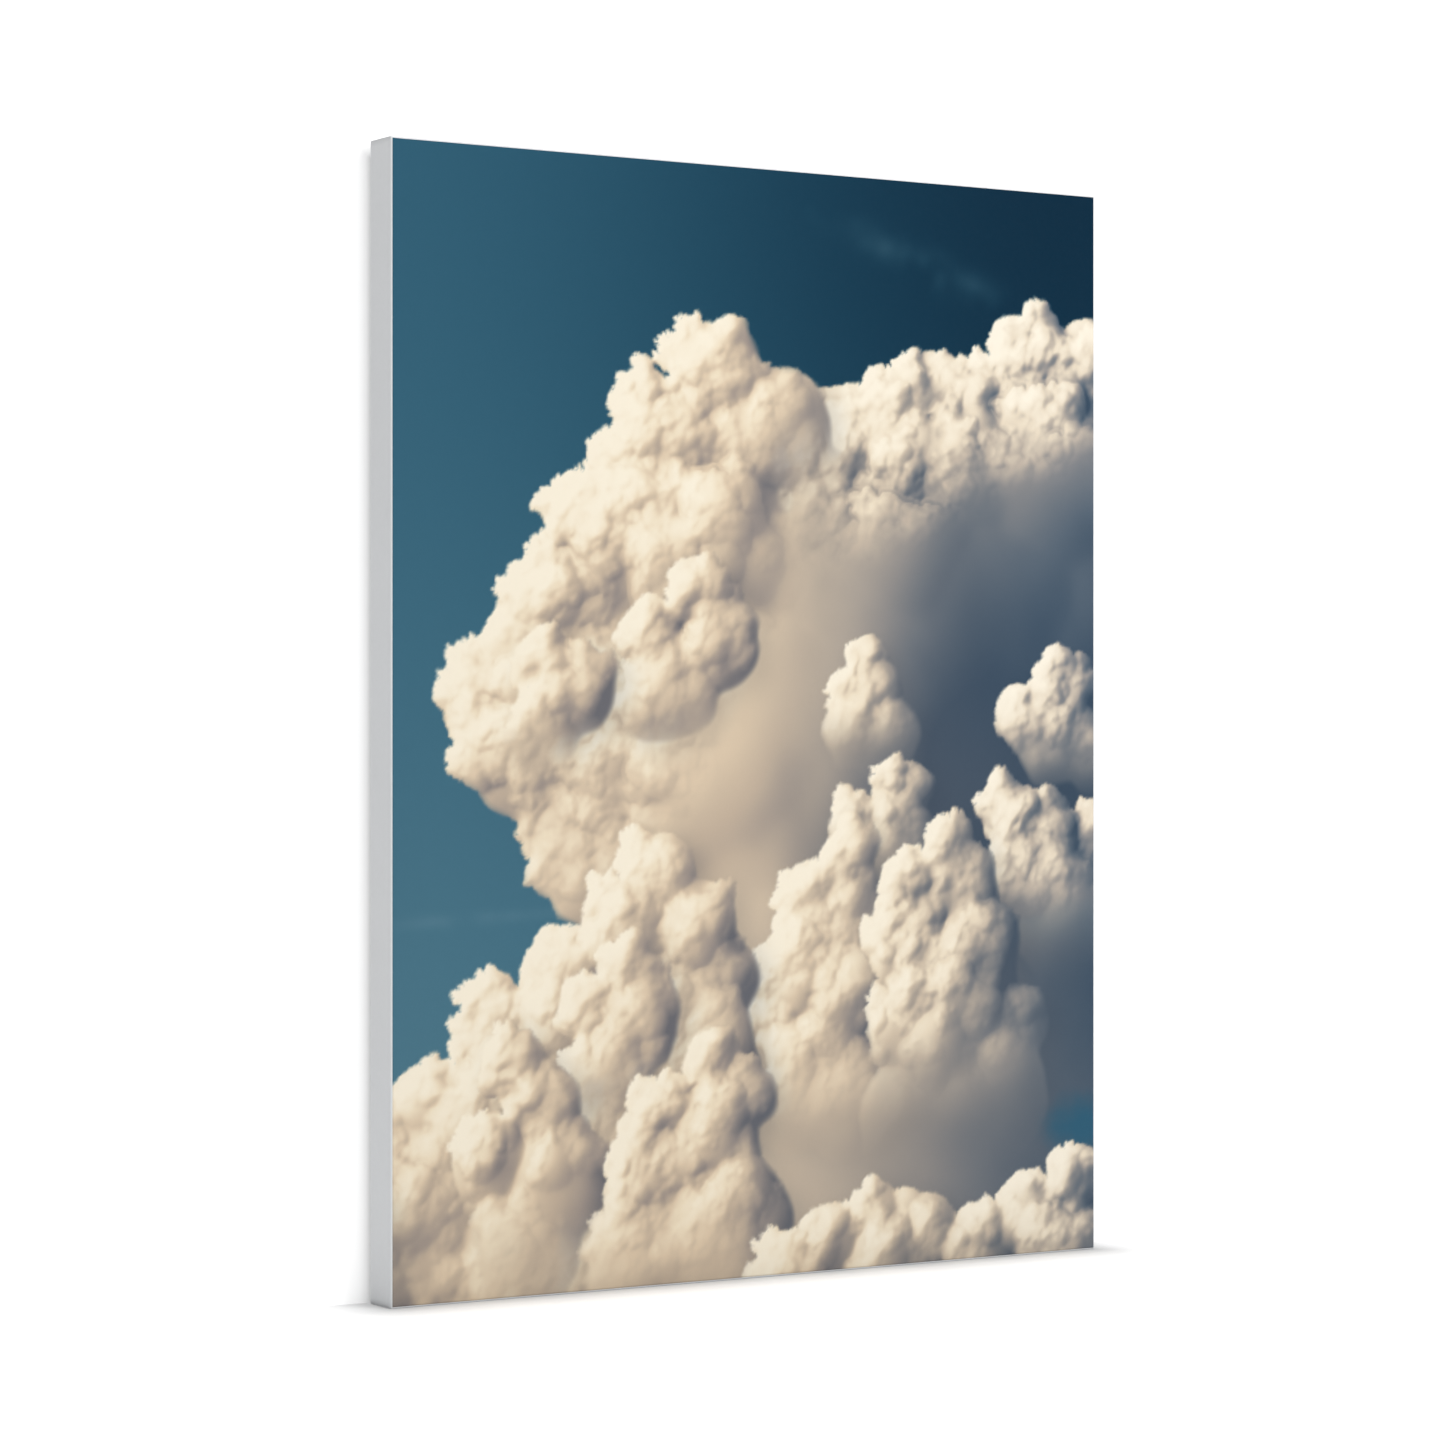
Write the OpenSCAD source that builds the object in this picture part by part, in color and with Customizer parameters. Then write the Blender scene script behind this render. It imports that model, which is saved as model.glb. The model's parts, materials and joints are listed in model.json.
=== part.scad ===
// Stretched canvas on keyed, gallery-depth stretcher bars, with its hanging hardware.
// Millimetres. X runs across the picture, Z up, and Y from the picture (-) to the wall (+).
// The origin is the middle of the bottom edge, half way through the depth.

/* [Canvas] */
// Width of the finished canvas
canvas_w = 762; // [400:1:1000]
// Height of the finished canvas
canvas_h = 1016; // [600:1:1300]
// Thickness of the primed cloth
cloth_t = 0.5; // [0.4:0.05:0.7]
// Width of the hem that is folded onto the back
hem_w = 25; // [20:1:28]

/* [Stretcher bars] */
// Depth of a bar from its front to its back
bar_d = 38.1; // [36:0.1:45]
// Width of a bar across the frame
bar_w = 44; // [42:1:52]
// Width of the raised lip that the cloth bears on
lip_w = 6; // [4:0.5:10]
// How far the front falls away from the cloth at a bar's inner edge
bevel_drop = 4.5; // [2:0.5:6]
// Thickness of the front cheek of a corner joint
cheek_t = 12; // [10:0.5:14]
// Thickness of a corner tongue
tongue_t = 8; // [6:0.5:9]

/* [Corner keys] */
// Length of a key
key_len = 48; // [40:1:52]
// Width of a key at its tip
key_tip_w = 3; // [2:0.5:4]
// Width of a key at its head
key_head_w = 12; // [11:0.5:14]
// Width of the gap that a key is driven into
key_gap = 10; // [8:0.5:10]
// How far a key can still be tapped in from rest
key_play = 4; // [2:0.5:6]

/* [Cross brace] */
// Width of the brace
brace_w = 44; // [36:1:60]
// Thickness of the brace
brace_t = 18; // [14:1:20]
// Length of the tenon at each end of the brace
tenon_len = 28; // [20:1:32]

/* [Staples] */
// Distance between staples along an edge, before it is rounded to fit
staple_pitch = 50; // [35:1:80]
// Length of a staple's crown
crown_len = 12.7; // [10:0.1:13]
// Length of a staple's legs
leg_len = 9.5; // [6:0.5:10]

/* [Hanging hardware] */
// How far the two ring hinges are below the top edge
ring_drop = 300; // [200:1:320]
// Diameter of the rings' wire
ring_wire_d = 2.5; // [2:0.1:3]
// How far the wire's peak is below the top edge
hook_drop = 74; // [60:1:120]
// Diameter of the picture wire
wire_d = 1.8; // [1.2:0.1:2]
// Height of a bumper
bumper_h = 6; // [5:0.5:8]

/* [Hidden] */
$fn = 48;

// Frame of the bars, inside the cloth
frame_w = canvas_w - 2 * cloth_t;
frame_h = canvas_h - 2 * cloth_t;
y_front = -bar_d / 2;
y_back = bar_d / 2;
y_hem = y_back + cloth_t;

// Layers of a corner joint, front to back: cheek, stile tongue, rail tongue, cheek
y_stile_tongue = y_front + cheek_t;
y_rail_tongue = y_stile_tongue + tongue_t;
y_back_cheek = y_rail_tongue + tongue_t;
joint_gap = 0.1;
tongue_end_gap = 0.4;

// Bar section
lip_r = 1;
lip_step = [1.8, 1.2];
edge_chamfer = 1.5;

// Keys: a key is tight when its width at the slot's mouth fills the gap
key_gap_side = 0.1;
key_face_gap = 0.3;
key_taper = (key_head_w - key_tip_w) / key_len;
key_tight = (key_gap - 2 * key_gap_side - key_tip_w) / key_taper;
key_rest = key_tight - key_play;
key_corner_cut = 2;

// Brace and its mortises
brace_y = y_rail_tongue + tongue_t / 2;
tenon_w = brace_w - 10;
mortise_gap = 0.15;
mortise_end_gap = 1.5;
brace_chamfer = 1.2;

// Staples
staple_wire = [1.2, 0.6];
staple_inset = 15;
staple_end = 62;
corner_staple_at = [34, 48];

// Fold at each corner of the hem
fold_start = 1.5;
fold_reach = 56;
fold_taper = 9;

// Hanger strap, ring and screws
ring_r = ring_wire_d / 2;
ring_clearance = 0.08;
strap_sheet = 1;
strap_w = 12;
strap_len = 33;
strap_inset = 35;
barrel_r = ring_r + ring_clearance + strap_sheet;
hinge_y = y_back + barrel_r;
strap_x = canvas_w / 2 - cloth_t - strap_inset;
ring_z = canvas_h - ring_drop;
screw_drop = [11, 24];
screw_hole_r = 2;
screw_shank_r = 1.7;
screw_len = 13;
screw_head_r = 3.4;
screw_head_h = 1.9;
screw_slot = [4, 0.8, 0.9];
ring_half_w = 8.25;
ring_corner_r = 2;
ring_side = 5;
ring_lean = 9;

// Picture wire, looped on the inner shoulder of each ring's arc. The rings lean outward and the
// wire runs straight up between its loops, as it does on a wall hook.
wire_r = wire_d / 2;
wire_angle = atan2(ring_drop - hook_drop - ring_side, strap_x);
wire_loop_r = ring_r + wire_r + 0.35;
wire_wrap_r = 1.9;
wire_wrap_len = 32;
wire_peak_r = wire_r + 0.15;
loop_reach = ring_side + ring_half_w * sin(wire_angle);
loop_x = strap_x - ring_half_w * cos(wire_angle);
loop_y = hinge_y + loop_reach * sin(ring_lean);
loop_z = ring_z + loop_reach * cos(ring_lean);
peak_z = loop_z + loop_x * tan(wire_angle);

// Bumpers
bumper_r = 6.5;
bumper_top_r = 4.5;
bumper_x = canvas_w / 2 - 84;
bumper_z = 15;

// ---------- helpers ----------

// Extrudes an X-Z outline between two depths.
module slab(y0, y1) {
    translate([0, y1, 0]) rotate([90, 0, 0]) linear_extrude(height = y1 - y0) children();
}

// Turns a bottom-edge piece, built from the middle of its outer edge, onto each side of the frame.
module on_bottom() { translate([0, 0, cloth_t]) children(); }
module on_top() { translate([0, 0, canvas_h - cloth_t]) mirror([0, 0, 1]) children(); }
module on_left() { translate([-frame_w / 2, 0, canvas_h / 2]) rotate([0, 90, 0]) children(); }
module on_right() { mirror([1, 0, 0]) on_left() children(); }

// Puts a bottom-left corner piece at a corner of the frame. sx and sz are -1 or 1.
module at_corner(sx, sz) {
    translate([sx * frame_w / 2, 0, canvas_h / 2 + sz * frame_h / 2])
        mirror([sx > 0 ? 1 : 0, 0, 0]) mirror([0, 0, sz > 0 ? 1 : 0]) children();
}

// ---------- stretcher bars ----------

// Section of a bar as [depth, across], across from the outer edge.
function bar_section() = concat(
    [for (a = [0 : 15 : 90]) [y_front + lip_r - lip_r * sin(a), lip_r - lip_r * cos(a)]],
    [
        [y_front, lip_w],
        [y_front + lip_step[1], lip_w + lip_step[0]],
        [y_front + bevel_drop, bar_w],
        [y_back - edge_chamfer, bar_w],
        [y_back, bar_w - edge_chamfer],
        [y_back, 0],
    ]
);

module bar_blank(length) {
    translate([-length / 2, 0, 0]) rotate([90, 0, 90]) linear_extrude(height = length)
        polygon(bar_section());
}

module mitred_plan(length) {
    half = length / 2 - joint_gap / 2;
    polygon([[-half, 0], [half, 0], [half - bar_w, bar_w], [joint_gap / 2 - half + bar_w, bar_w]]);
}

module straight_plan(length) {
    translate([-length / 2, 0]) square([length, bar_w]);
}

// One bar, lying along X with its outer edge at z = 0. tongue_y is where its tongue layer starts,
// and slot_y where the layer starts that its neighbour's tongue fills.
module bar(length, tongue_y, slot_y) {
    intersection() {
        bar_blank(length);
        union() {
            slab(y_front, y_stile_tongue) mitred_plan(length);
            slab(y_back_cheek, y_back) mitred_plan(length);
            slab(y_stile_tongue, y_back_cheek) straight_plan(length - 2 * (bar_w + key_gap));
            slab(tongue_y + joint_gap, tongue_y + tongue_t - joint_gap)
                straight_plan(length - 2 * tongue_end_gap);
        }
    }
}

module rail() {
    color("burlywood") bar(frame_w, y_rail_tongue, y_stile_tongue);
}

module stile() {
    color("burlywood") difference() {
        bar(frame_h, y_stile_tongue, y_rail_tongue);
        brace_mortise();
    }
}

module brace_mortise() {
    depth = tenon_len + mortise_end_gap;
    width = tenon_w + 2 * mortise_gap;
    thick = tongue_t + 2 * mortise_gap;
    translate([-width / 2, brace_y - thick / 2, bar_w - depth]) cube([width, thick, depth + 1]);
}

module cross_brace() {
    span = frame_w - 2 * bar_w - 2 * joint_gap;
    color("burlywood") translate([0, brace_y, canvas_h / 2]) {
        translate([-span / 2, 0, 0]) rotate([90, 0, 90]) linear_extrude(height = span)
            chamfered_rectangle(brace_t, brace_w, brace_chamfer);
        cube([span + 2 * tenon_len, tongue_t, tenon_w], center = true);
    }
}

module chamfered_rectangle(w, h, c) {
    x = w / 2;
    y = h / 2;
    polygon([
        [-x + c, -y], [x - c, -y], [x, -y + c], [x, y - c],
        [x - c, y], [-x + c, y], [-x, y - c], [-x, -y + c],
    ]);
}

// ---------- corner keys ----------

// Wedge with its tip at the origin, its straight side on x = 0, pointing down -Z.
module key_plan() {
    c = key_corner_cut;
    polygon([
        [0, 0], [key_tip_w, 0], [key_head_w - c * key_taper, key_len - c],
        [key_head_w - c, key_len], [c / 2, key_len], [0, key_len - c / 2],
    ]);
}

// Key a slides up and down in the rail's slot, against the stile.
module key_a(sx, sz) {
    color("wheat") at_corner(sx, sz)
        translate([bar_w + key_gap_side, 0, bar_w - key_rest])
            slab(y_stile_tongue + key_face_gap, y_rail_tongue - key_face_gap) key_plan();
}

// Key b slides sideways in the stile's slot, against the rail.
module key_b(sx, sz) {
    color("wheat") at_corner(sx, sz)
        translate([bar_w - key_rest, 0, bar_w + key_gap_side])
            slab(y_rail_tongue + key_face_gap, y_back_cheek - key_face_gap)
                mirror([1, -1]) key_plan();
}

// ---------- cloth ----------

module hem_plan() {
    difference() {
        translate([-canvas_w / 2, 0]) square([canvas_w, canvas_h]);
        translate([hem_w - canvas_w / 2, hem_w])
            square([canvas_w - 2 * hem_w, canvas_h - 2 * hem_w]);
    }
}

// The doubled cloth of a folded corner, lying on the rail's hem.
module corner_fold() {
    slab(y_hem, y_hem + cloth_t) polygon([
        [fold_start, 0], [hem_w + fold_start - cloth_t, hem_w - cloth_t],
        [fold_reach, hem_w - cloth_t], [fold_reach - fold_taper, 0],
    ]);
}

// A width by depth rectangle from y = 0 back, with its two front corners rounded.
module round_fronted(width, depth, r) {
    translate([-width / 2, r]) square([width, depth - r]);
    translate([r - width / 2, 0]) square([width - 2 * r, depth]);
    for (s = [-1, 1]) translate([s * (width / 2 - r), r]) circle(r);
}

// A block whose four front edges are rounded, with its front at y = 0.
module round_fronted_block(width, depth, height, r) {
    intersection() {
        linear_extrude(height = height) round_fronted(width, depth, r);
        translate([-width / 2, 0, height / 2]) rotate([90, 0, 90]) linear_extrude(height = width)
            rotate(-90) round_fronted(height, depth, r);
    }
}

module canvas() {
    color("ghostwhite") {
        difference() {
            translate([0, y_front - cloth_t, 0])
                round_fronted_block(canvas_w, bar_d + 2 * cloth_t, canvas_h, lip_r + cloth_t);
            translate([0, y_front, cloth_t])
                round_fronted_block(frame_w, bar_d, frame_h, lip_r);
            slab(y_back - 1, y_hem + 1)
                translate([hem_w - canvas_w / 2, hem_w])
                    square([canvas_w - 2 * hem_w, canvas_h - 2 * hem_w]);
        }
        for (sx = [-1, 1], sz = [-1, 1]) at_corner(sx, sz) corner_fold();
    }
}

// ---------- staples ----------

// One staple with its crown along X, its underside at y = 0 and its legs pointing to -Y.
module staple() {
    w = staple_wire[0];
    t = staple_wire[1];
    translate([-crown_len / 2, 0, -w / 2]) cube([crown_len, t, w]);
    for (x = [-crown_len / 2, crown_len / 2 - t])
        translate([x, -leg_len, -w / 2]) cube([t, leg_len + t / 2, w]);
}

// A row along an edge of the given length, as a bottom-edge piece.
module staple_row(length) {
    count = round((length - 2 * staple_end) / staple_pitch);
    pitch = (length - 2 * staple_end) / count;
    color("silver") for (i = [0 : count])
        translate([staple_end - length / 2 + i * pitch, y_hem, staple_inset]) staple();
}

module staples_corners() {
    color("silver") for (sx = [-1, 1], sz = [-1, 1], x = corner_staple_at)
        at_corner(sx, sz) translate([x, y_hem + cloth_t, staple_inset - cloth_t * 2])
            rotate([0, x == corner_staple_at[0] ? -45 : 0, 0]) staple();
}

// ---------- hanging hardware ----------

// Places a left-hand hanger piece on the left (-1) or right (1) stile, at its ring's hinge.
module at_hinge(side) {
    translate([side * strap_x, hinge_y, ring_z]) mirror([side > 0 ? 1 : 0, 0, 0]) children();
}

module strap_outline() {
    translate([-strap_w / 2, strap_w / 2 - strap_len]) square([strap_w, strap_len - strap_w / 2]);
    translate([0, strap_w / 2 - strap_len]) circle(strap_w / 2);
}

module hanger_strap(side) {
    color("lightgray") at_hinge(side) difference() {
        union() {
            slab(-barrel_r, 2 * strap_sheet - barrel_r) strap_outline();
            rotate([0, 90, 0]) cylinder(r = barrel_r, h = strap_w, center = true);
        }
        rotate([0, 90, 0]) cylinder(r = ring_r + ring_clearance, h = strap_w + 2, center = true);
        for (z = screw_drop) translate([0, 0, -z]) rotate([90, 0, 0])
            cylinder(r = screw_hole_r, h = 4 * barrel_r, center = true);
    }
}

module screw() {
    under_head = 2 * strap_sheet - barrel_r;
    translate([0, under_head, 0]) rotate([-90, 0, 0]) difference() {
        union() {
            cylinder(r = screw_head_r, h = screw_head_h * 0.55);
            translate([0, 0, screw_head_h * 0.55])
                cylinder(r1 = screw_head_r, r2 = screw_head_r * 0.6, h = screw_head_h * 0.45);
            translate([0, 0, -screw_len + 3]) cylinder(r = screw_shank_r, h = screw_len - 2.9);
            translate([0, 0, -screw_len]) cylinder(r1 = 0.3, r2 = screw_shank_r, h = 3.1);
        }
        for (a = [0, 90]) rotate([0, 0, a])
            translate([0, 0, screw_head_h]) cube(
                [screw_slot[0], screw_slot[1], 2 * screw_slot[2]], center = true
            );
    }
}

module hanger_screws() {
    color("gainsboro") for (side = [-1, 1], z = screw_drop)
        at_hinge(side) translate([0, 0, -z]) screw();
}

// A D ring that stands up from its straight bar, which lies on the hinge axis.
module hanger_ring(side) {
    straight = ring_half_w - ring_corner_r;
    color("silver") at_hinge(side) rotate([-ring_lean, 0, 0]) {
        rotate([0, 90, 0]) cylinder(r = ring_r, h = 2 * straight, center = true);
        for (s = [-1, 1]) mirror([s > 0 ? 1 : 0, 0, 0]) {
            translate([-straight, 0, ring_corner_r]) rotate([90, 0, 0])
                rotate_extrude(angle = 90, start = 180)
                    translate([ring_corner_r, 0]) circle(ring_r);
            translate([-ring_half_w, 0, ring_corner_r])
                cylinder(r = ring_r, h = ring_side - ring_corner_r);
        }
        translate([0, 0, ring_side]) rotate([90, 0, 0])
            rotate_extrude(angle = 180, start = 0) translate([ring_half_w, 0]) circle(ring_r);
    }
}

// One half of the wire, from its loop on the left ring to the peak.
module wire_half() {
    run = loop_x / cos(wire_angle);
    translate([-loop_x, loop_y, loop_z]) rotate([0, 90 - wire_angle, 0]) {
        rotate([90, 0, 90]) rotate_extrude() translate([wire_loop_r, 0]) circle(wire_r);
        translate([0, 0, wire_loop_r]) cylinder(r = wire_wrap_r, h = wire_wrap_len);
        translate([0, 0, wire_loop_r]) cylinder(r = wire_r, h = run - wire_loop_r);
    }
}

module picture_wire() {
    color("silver") {
        wire_half();
        mirror([1, 0, 0]) wire_half();
        translate([0, loop_y, peak_z]) sphere(wire_peak_r);
    }
}

module bumper(side) {
    color("dimgray") translate([side * bumper_x, y_hem, bumper_z]) rotate([-90, 0, 0])
        rotate_extrude() polygon([
            [0, 0], [bumper_r, 0], [bumper_r, bumper_h * 0.3],
            for (a = [30 : 30 : 90]) [
                bumper_top_r + (bumper_r - bumper_top_r) * cos(a),
                bumper_h * (0.3 + 0.7 * sin(a)),
            ],
            [0, bumper_h],
        ]);
}

// ---------- nodes ----------

canvas();
on_top() rail();  // rail_top
on_bottom() rail();  // rail_bottom
on_left() stile();  // stile_left
on_right() stile();  // stile_right
cross_brace();
key_a(-1, 1);  // key_top_left_a
key_b(-1, 1);  // key_top_left_b
key_a(1, 1);  // key_top_right_a
key_b(1, 1);  // key_top_right_b
key_a(-1, -1);  // key_bottom_left_a
key_b(-1, -1);  // key_bottom_left_b
key_a(1, -1);  // key_bottom_right_a
key_b(1, -1);  // key_bottom_right_b
on_top() staple_row(frame_w);  // staples_top
on_bottom() staple_row(frame_w);  // staples_bottom
on_left() staple_row(frame_h);  // staples_left
on_right() staple_row(frame_h);  // staples_right
staples_corners();
hanger_strap(-1);  // hanger_strap_left
hanger_strap(1);  // hanger_strap_right
hanger_screws();
hanger_ring(-1);  // hanger_ring_left
hanger_ring(1);  // hanger_ring_right
picture_wire();
bumper(-1);  // bumper_left
bumper(1);  // bumper_right
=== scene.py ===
"""Looks of the stretched canvas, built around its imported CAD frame. Metres, in the CAD's own frame."""
import json
import math

import bpy
import numpy as np
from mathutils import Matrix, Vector

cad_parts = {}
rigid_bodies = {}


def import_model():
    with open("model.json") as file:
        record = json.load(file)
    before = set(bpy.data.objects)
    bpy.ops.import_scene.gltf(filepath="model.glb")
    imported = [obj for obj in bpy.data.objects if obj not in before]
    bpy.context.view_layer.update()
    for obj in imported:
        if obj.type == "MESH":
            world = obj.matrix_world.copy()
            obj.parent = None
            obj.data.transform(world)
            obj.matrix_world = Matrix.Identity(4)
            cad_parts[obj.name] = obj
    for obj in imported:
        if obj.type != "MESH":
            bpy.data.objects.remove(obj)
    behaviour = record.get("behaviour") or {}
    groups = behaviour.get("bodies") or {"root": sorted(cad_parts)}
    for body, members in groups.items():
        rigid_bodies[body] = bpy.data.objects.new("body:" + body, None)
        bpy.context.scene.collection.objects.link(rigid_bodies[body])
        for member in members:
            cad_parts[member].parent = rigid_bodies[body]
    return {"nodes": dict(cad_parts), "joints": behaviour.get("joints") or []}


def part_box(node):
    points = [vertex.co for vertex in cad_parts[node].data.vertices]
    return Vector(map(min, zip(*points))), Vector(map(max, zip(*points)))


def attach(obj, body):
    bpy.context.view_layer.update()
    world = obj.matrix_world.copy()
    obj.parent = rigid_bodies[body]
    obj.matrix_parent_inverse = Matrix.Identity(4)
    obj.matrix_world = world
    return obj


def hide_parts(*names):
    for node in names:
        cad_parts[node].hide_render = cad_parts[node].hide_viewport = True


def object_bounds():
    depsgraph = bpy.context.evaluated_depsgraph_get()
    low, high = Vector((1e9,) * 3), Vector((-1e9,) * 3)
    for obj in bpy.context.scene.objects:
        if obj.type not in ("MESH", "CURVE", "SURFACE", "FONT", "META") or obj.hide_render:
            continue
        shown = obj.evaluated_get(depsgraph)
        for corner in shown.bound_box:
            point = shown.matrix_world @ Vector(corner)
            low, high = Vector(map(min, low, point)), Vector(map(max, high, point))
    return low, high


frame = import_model()
cad_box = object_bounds()

MM = 0.001
SEED = 23

# Places that the frame gives
CANVAS_LO, CANVAS_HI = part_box("canvas")
BAR_LO, BAR_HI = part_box("rail_top")
WIDTH = CANVAS_HI.x - CANVAS_LO.x
HEIGHT = CANVAS_HI.z - CANVAS_LO.z
CLOTH = BAR_LO.y - CANVAS_LO.y
Y_FACE = CANVAS_LO.y
Y_BAR_FRONT = BAR_LO.y
Y_BAR_BACK = BAR_HI.y
Y_HEM = Y_BAR_BACK + CLOTH
Y_SHEET = Y_BAR_FRONT - 0.02 * MM

# Cloth: its edge radii, hem width and weave, and how far ink, folds and hem stand proud.
# LINING is its inner face's inset from the canvas's edge
EDGE_R = 1.5 * MM
BACK_R = 0.8 * MM
HEM = 25 * MM
INK_PROUD = 0.03 * MM
FOLD_PROUD = 0.55 * MM
HEM_LOFT = 0.45 * MM
LINING = 0.48 * MM
WRAP_STEP = 6 * MM
THREAD_PITCH = 0.62 * MM

# Picture wire: the loop on a ring, the part wound on itself, and the strands round a core
NECK = 6.5 * MM
LOOP_R = 2.5 * MM
LEG_OUT = 0.9 * MM
WOUND_TO = 34 * MM
WOUND_TURNS = 10
WOUND_R = 1.45 * MM
PEAK_EASE = 12 * MM
WIRE_STEP = 0.7 * MM
STRANDS = 6
LAY = 8.5 * MM
CORE_R = 0.34 * MM
STRAND_R = 0.31 * MM
STRAND_OUT = 0.58 * MM

# Light, stage and camera
AMBIENT = 0.66
WHITE_PAPER = 1.2
FRONT_POWER = 70
BACK_POWER = 48
FAR = 60.0
FLOOR_SHADOW = 90 * MM
FLOOR_GLOW = 0.36
WALL_SHADOW = 17 * MM
WALL_SHADOW_SHIFT = (4 * MM, -14 * MM)
WALL_GLOW = 0.35
SHADOW_DEPTH = 0.5
CAMERA_TURN = math.radians(32)
CAMERA_AWAY = 3.7315
CAMERA_ASIDE = 0.036
CAMERA_LENS = 101.56


# ---------------- helpers


def screen(*values):
    """8-bit sRGB values, or a list of such colours, as shares of 1."""
    return np.array(values) / 255.0


def linear(colours):
    """Linear colours from sRGB ones."""
    return np.where(colours <= 0.04045, colours / 12.92, ((colours + 0.055) / 1.055) ** 2.4)


def srgb(*rgb):
    """A linear colour from 8-bit sRGB values."""
    return linear(screen(*rgb))


def smooth(a, b, x):
    """Smooth step from 0 at a to 1 at b."""
    t = np.clip((x - a) / (b - a), 0, 1)
    return t * t * (3 - 2 * t)


def add_object(name, data):
    """An object in the scene's main collection."""
    obj = bpy.data.objects.new(name, data)
    bpy.context.scene.collection.objects.link(obj)
    return obj


def aim(obj, direction):
    """Turns a light or a camera to look along a direction."""
    obj.rotation_mode = "QUATERNION"
    obj.rotation_quaternion = direction.to_track_quat("-Z", "Y")


def new_mesh(name, verts, faces, materials, slots=None):
    """A smooth-shaded mesh object; slots gives each face's material."""
    mesh = bpy.data.meshes.new(name)
    mesh.from_pydata([tuple(v) for v in verts], [], [tuple(f) for f in faces])
    for material in materials:
        mesh.materials.append(material)
    if slots is not None:
        mesh.polygons.foreach_set("material_index", np.asarray(slots, np.int32))
    mesh.polygons.foreach_set("use_smooth", np.ones(len(mesh.polygons), bool))
    mesh.update()
    return add_object(name, mesh)


def grid_faces(rows, cols, offset=0, wrap=False, flip=False):
    """Quads over a grid of vertices. wrap joins the last column to the first; flip turns them over."""
    i = np.arange(rows - 1)[:, None]
    j = np.arange(cols if wrap else cols - 1)[None, :]
    k = (j + 1) % cols
    a, b = i * cols + j, i * cols + k
    c, d = (i + 1) * cols + k, (i + 1) * cols + j
    order = (a, d, c, b) if flip else (a, b, c, d)
    return np.stack(order, -1).reshape(-1, 4) + offset


def grid_rim(rows, cols):
    """Indices of the vertices round a grid's edge."""
    index = np.arange(rows * cols).reshape(rows, cols)
    return np.concatenate([index[0, :-1], index[:-1, -1], index[-1, :0:-1], index[:0:-1, 0]])


def join(parts):
    """One vertex list and one face list from several."""
    verts, faces, base = [], [], 0
    for v, f in parts:
        verts.append(v)
        faces += [[i + base for i in face] for face in f]
        base += len(v)
    return np.concatenate(verts), faces


class Nodes:
    """Builds a material's or a world's node tree from inputs that are values or sockets."""

    def __init__(self, name, kind="materials"):
        self.owner = getattr(bpy.data, kind).new(name)
        self.owner.use_nodes = True
        self.tree = self.owner.node_tree
        self.tree.nodes.clear()

    def node(self, kind, inputs=None, **settings):
        node = self.tree.nodes.new("ShaderNode" + kind)
        for key, value in settings.items():
            setattr(node, key, value)
        for key, value in (inputs or {}).items():
            self.put(node.inputs[key], value)
        return node

    def add(self, kind, inputs=None, output=0, **settings):
        """A node's output, which is the first one unless it is named."""
        return self.node(kind, inputs, **settings).outputs[output]

    def put(self, socket, value):
        if isinstance(value, bpy.types.NodeSocket):
            self.tree.links.new(value, socket)
        elif isinstance(value, (tuple, list, np.ndarray)):
            value = tuple(float(v) for v in value)
            socket.default_value = value + (1.0,) if socket.type == "RGBA" and len(value) == 3 else value
        else:
            socket.default_value = value

    def math(self, op, a, b=0.0, c=0.0):
        return self.add("Math", {0: a, 1: b, 2: c}, operation=op)

    def vector(self, op, a, b=(0, 0, 0)):
        return self.add("VectorMath", {0: a, 1: b}, operation=op)

    def split(self, vector):
        return self.node("SeparateXYZ", {0: vector}).outputs

    def mix(self, amount, a, b, blend="MIX"):
        node = self.node("Mix", data_type="RGBA", blend_type=blend)
        for index, value in ((0, amount), (6, a), (7, b)):
            self.put(node.inputs[index], value)
        return node.outputs[2]

    def position(self, scale=(1, 1, 1), shift=(0, 0, 0)):
        """Object coordinates, scaled after a shift."""
        coords = self.add("TexCoord", output="Object")
        return self.vector("MULTIPLY", self.vector("ADD", coords, shift), scale)

    def noise(self, vector, scale, detail=4.0, rough=0.55):
        inputs = {"Vector": vector, "Scale": scale, "Detail": detail, "Roughness": rough}
        return self.add("TexNoise", inputs, "Fac")

    def ramp(self, value, stops):
        node = self.node("ValToRGB", {0: value})
        band = node.color_ramp.elements
        while len(band) < len(stops):
            band.new(0.5)
        for element, (place, colour) in zip(band, stops):
            element.position = place
            element.color = (*[float(c) for c in colour], 1.0)
        return node.outputs[0]

    def map(self, value, low, high, to_low=0.0, to_high=1.0):
        return self.add("MapRange", {"Value": value, "From Min": low, "From Max": high,
                                     "To Min": to_low, "To Max": to_high})

    def bump(self, height, distance):
        return self.add("Bump", {"Height": height, "Distance": distance})

    def finish(self, **inputs):
        named = {key.replace("_", " "): value for key, value in inputs.items()}
        self.node("OutputMaterial", {"Surface": self.add("BsdfPrincipled", named)})
        return self.owner


# ---------------- materials


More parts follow.
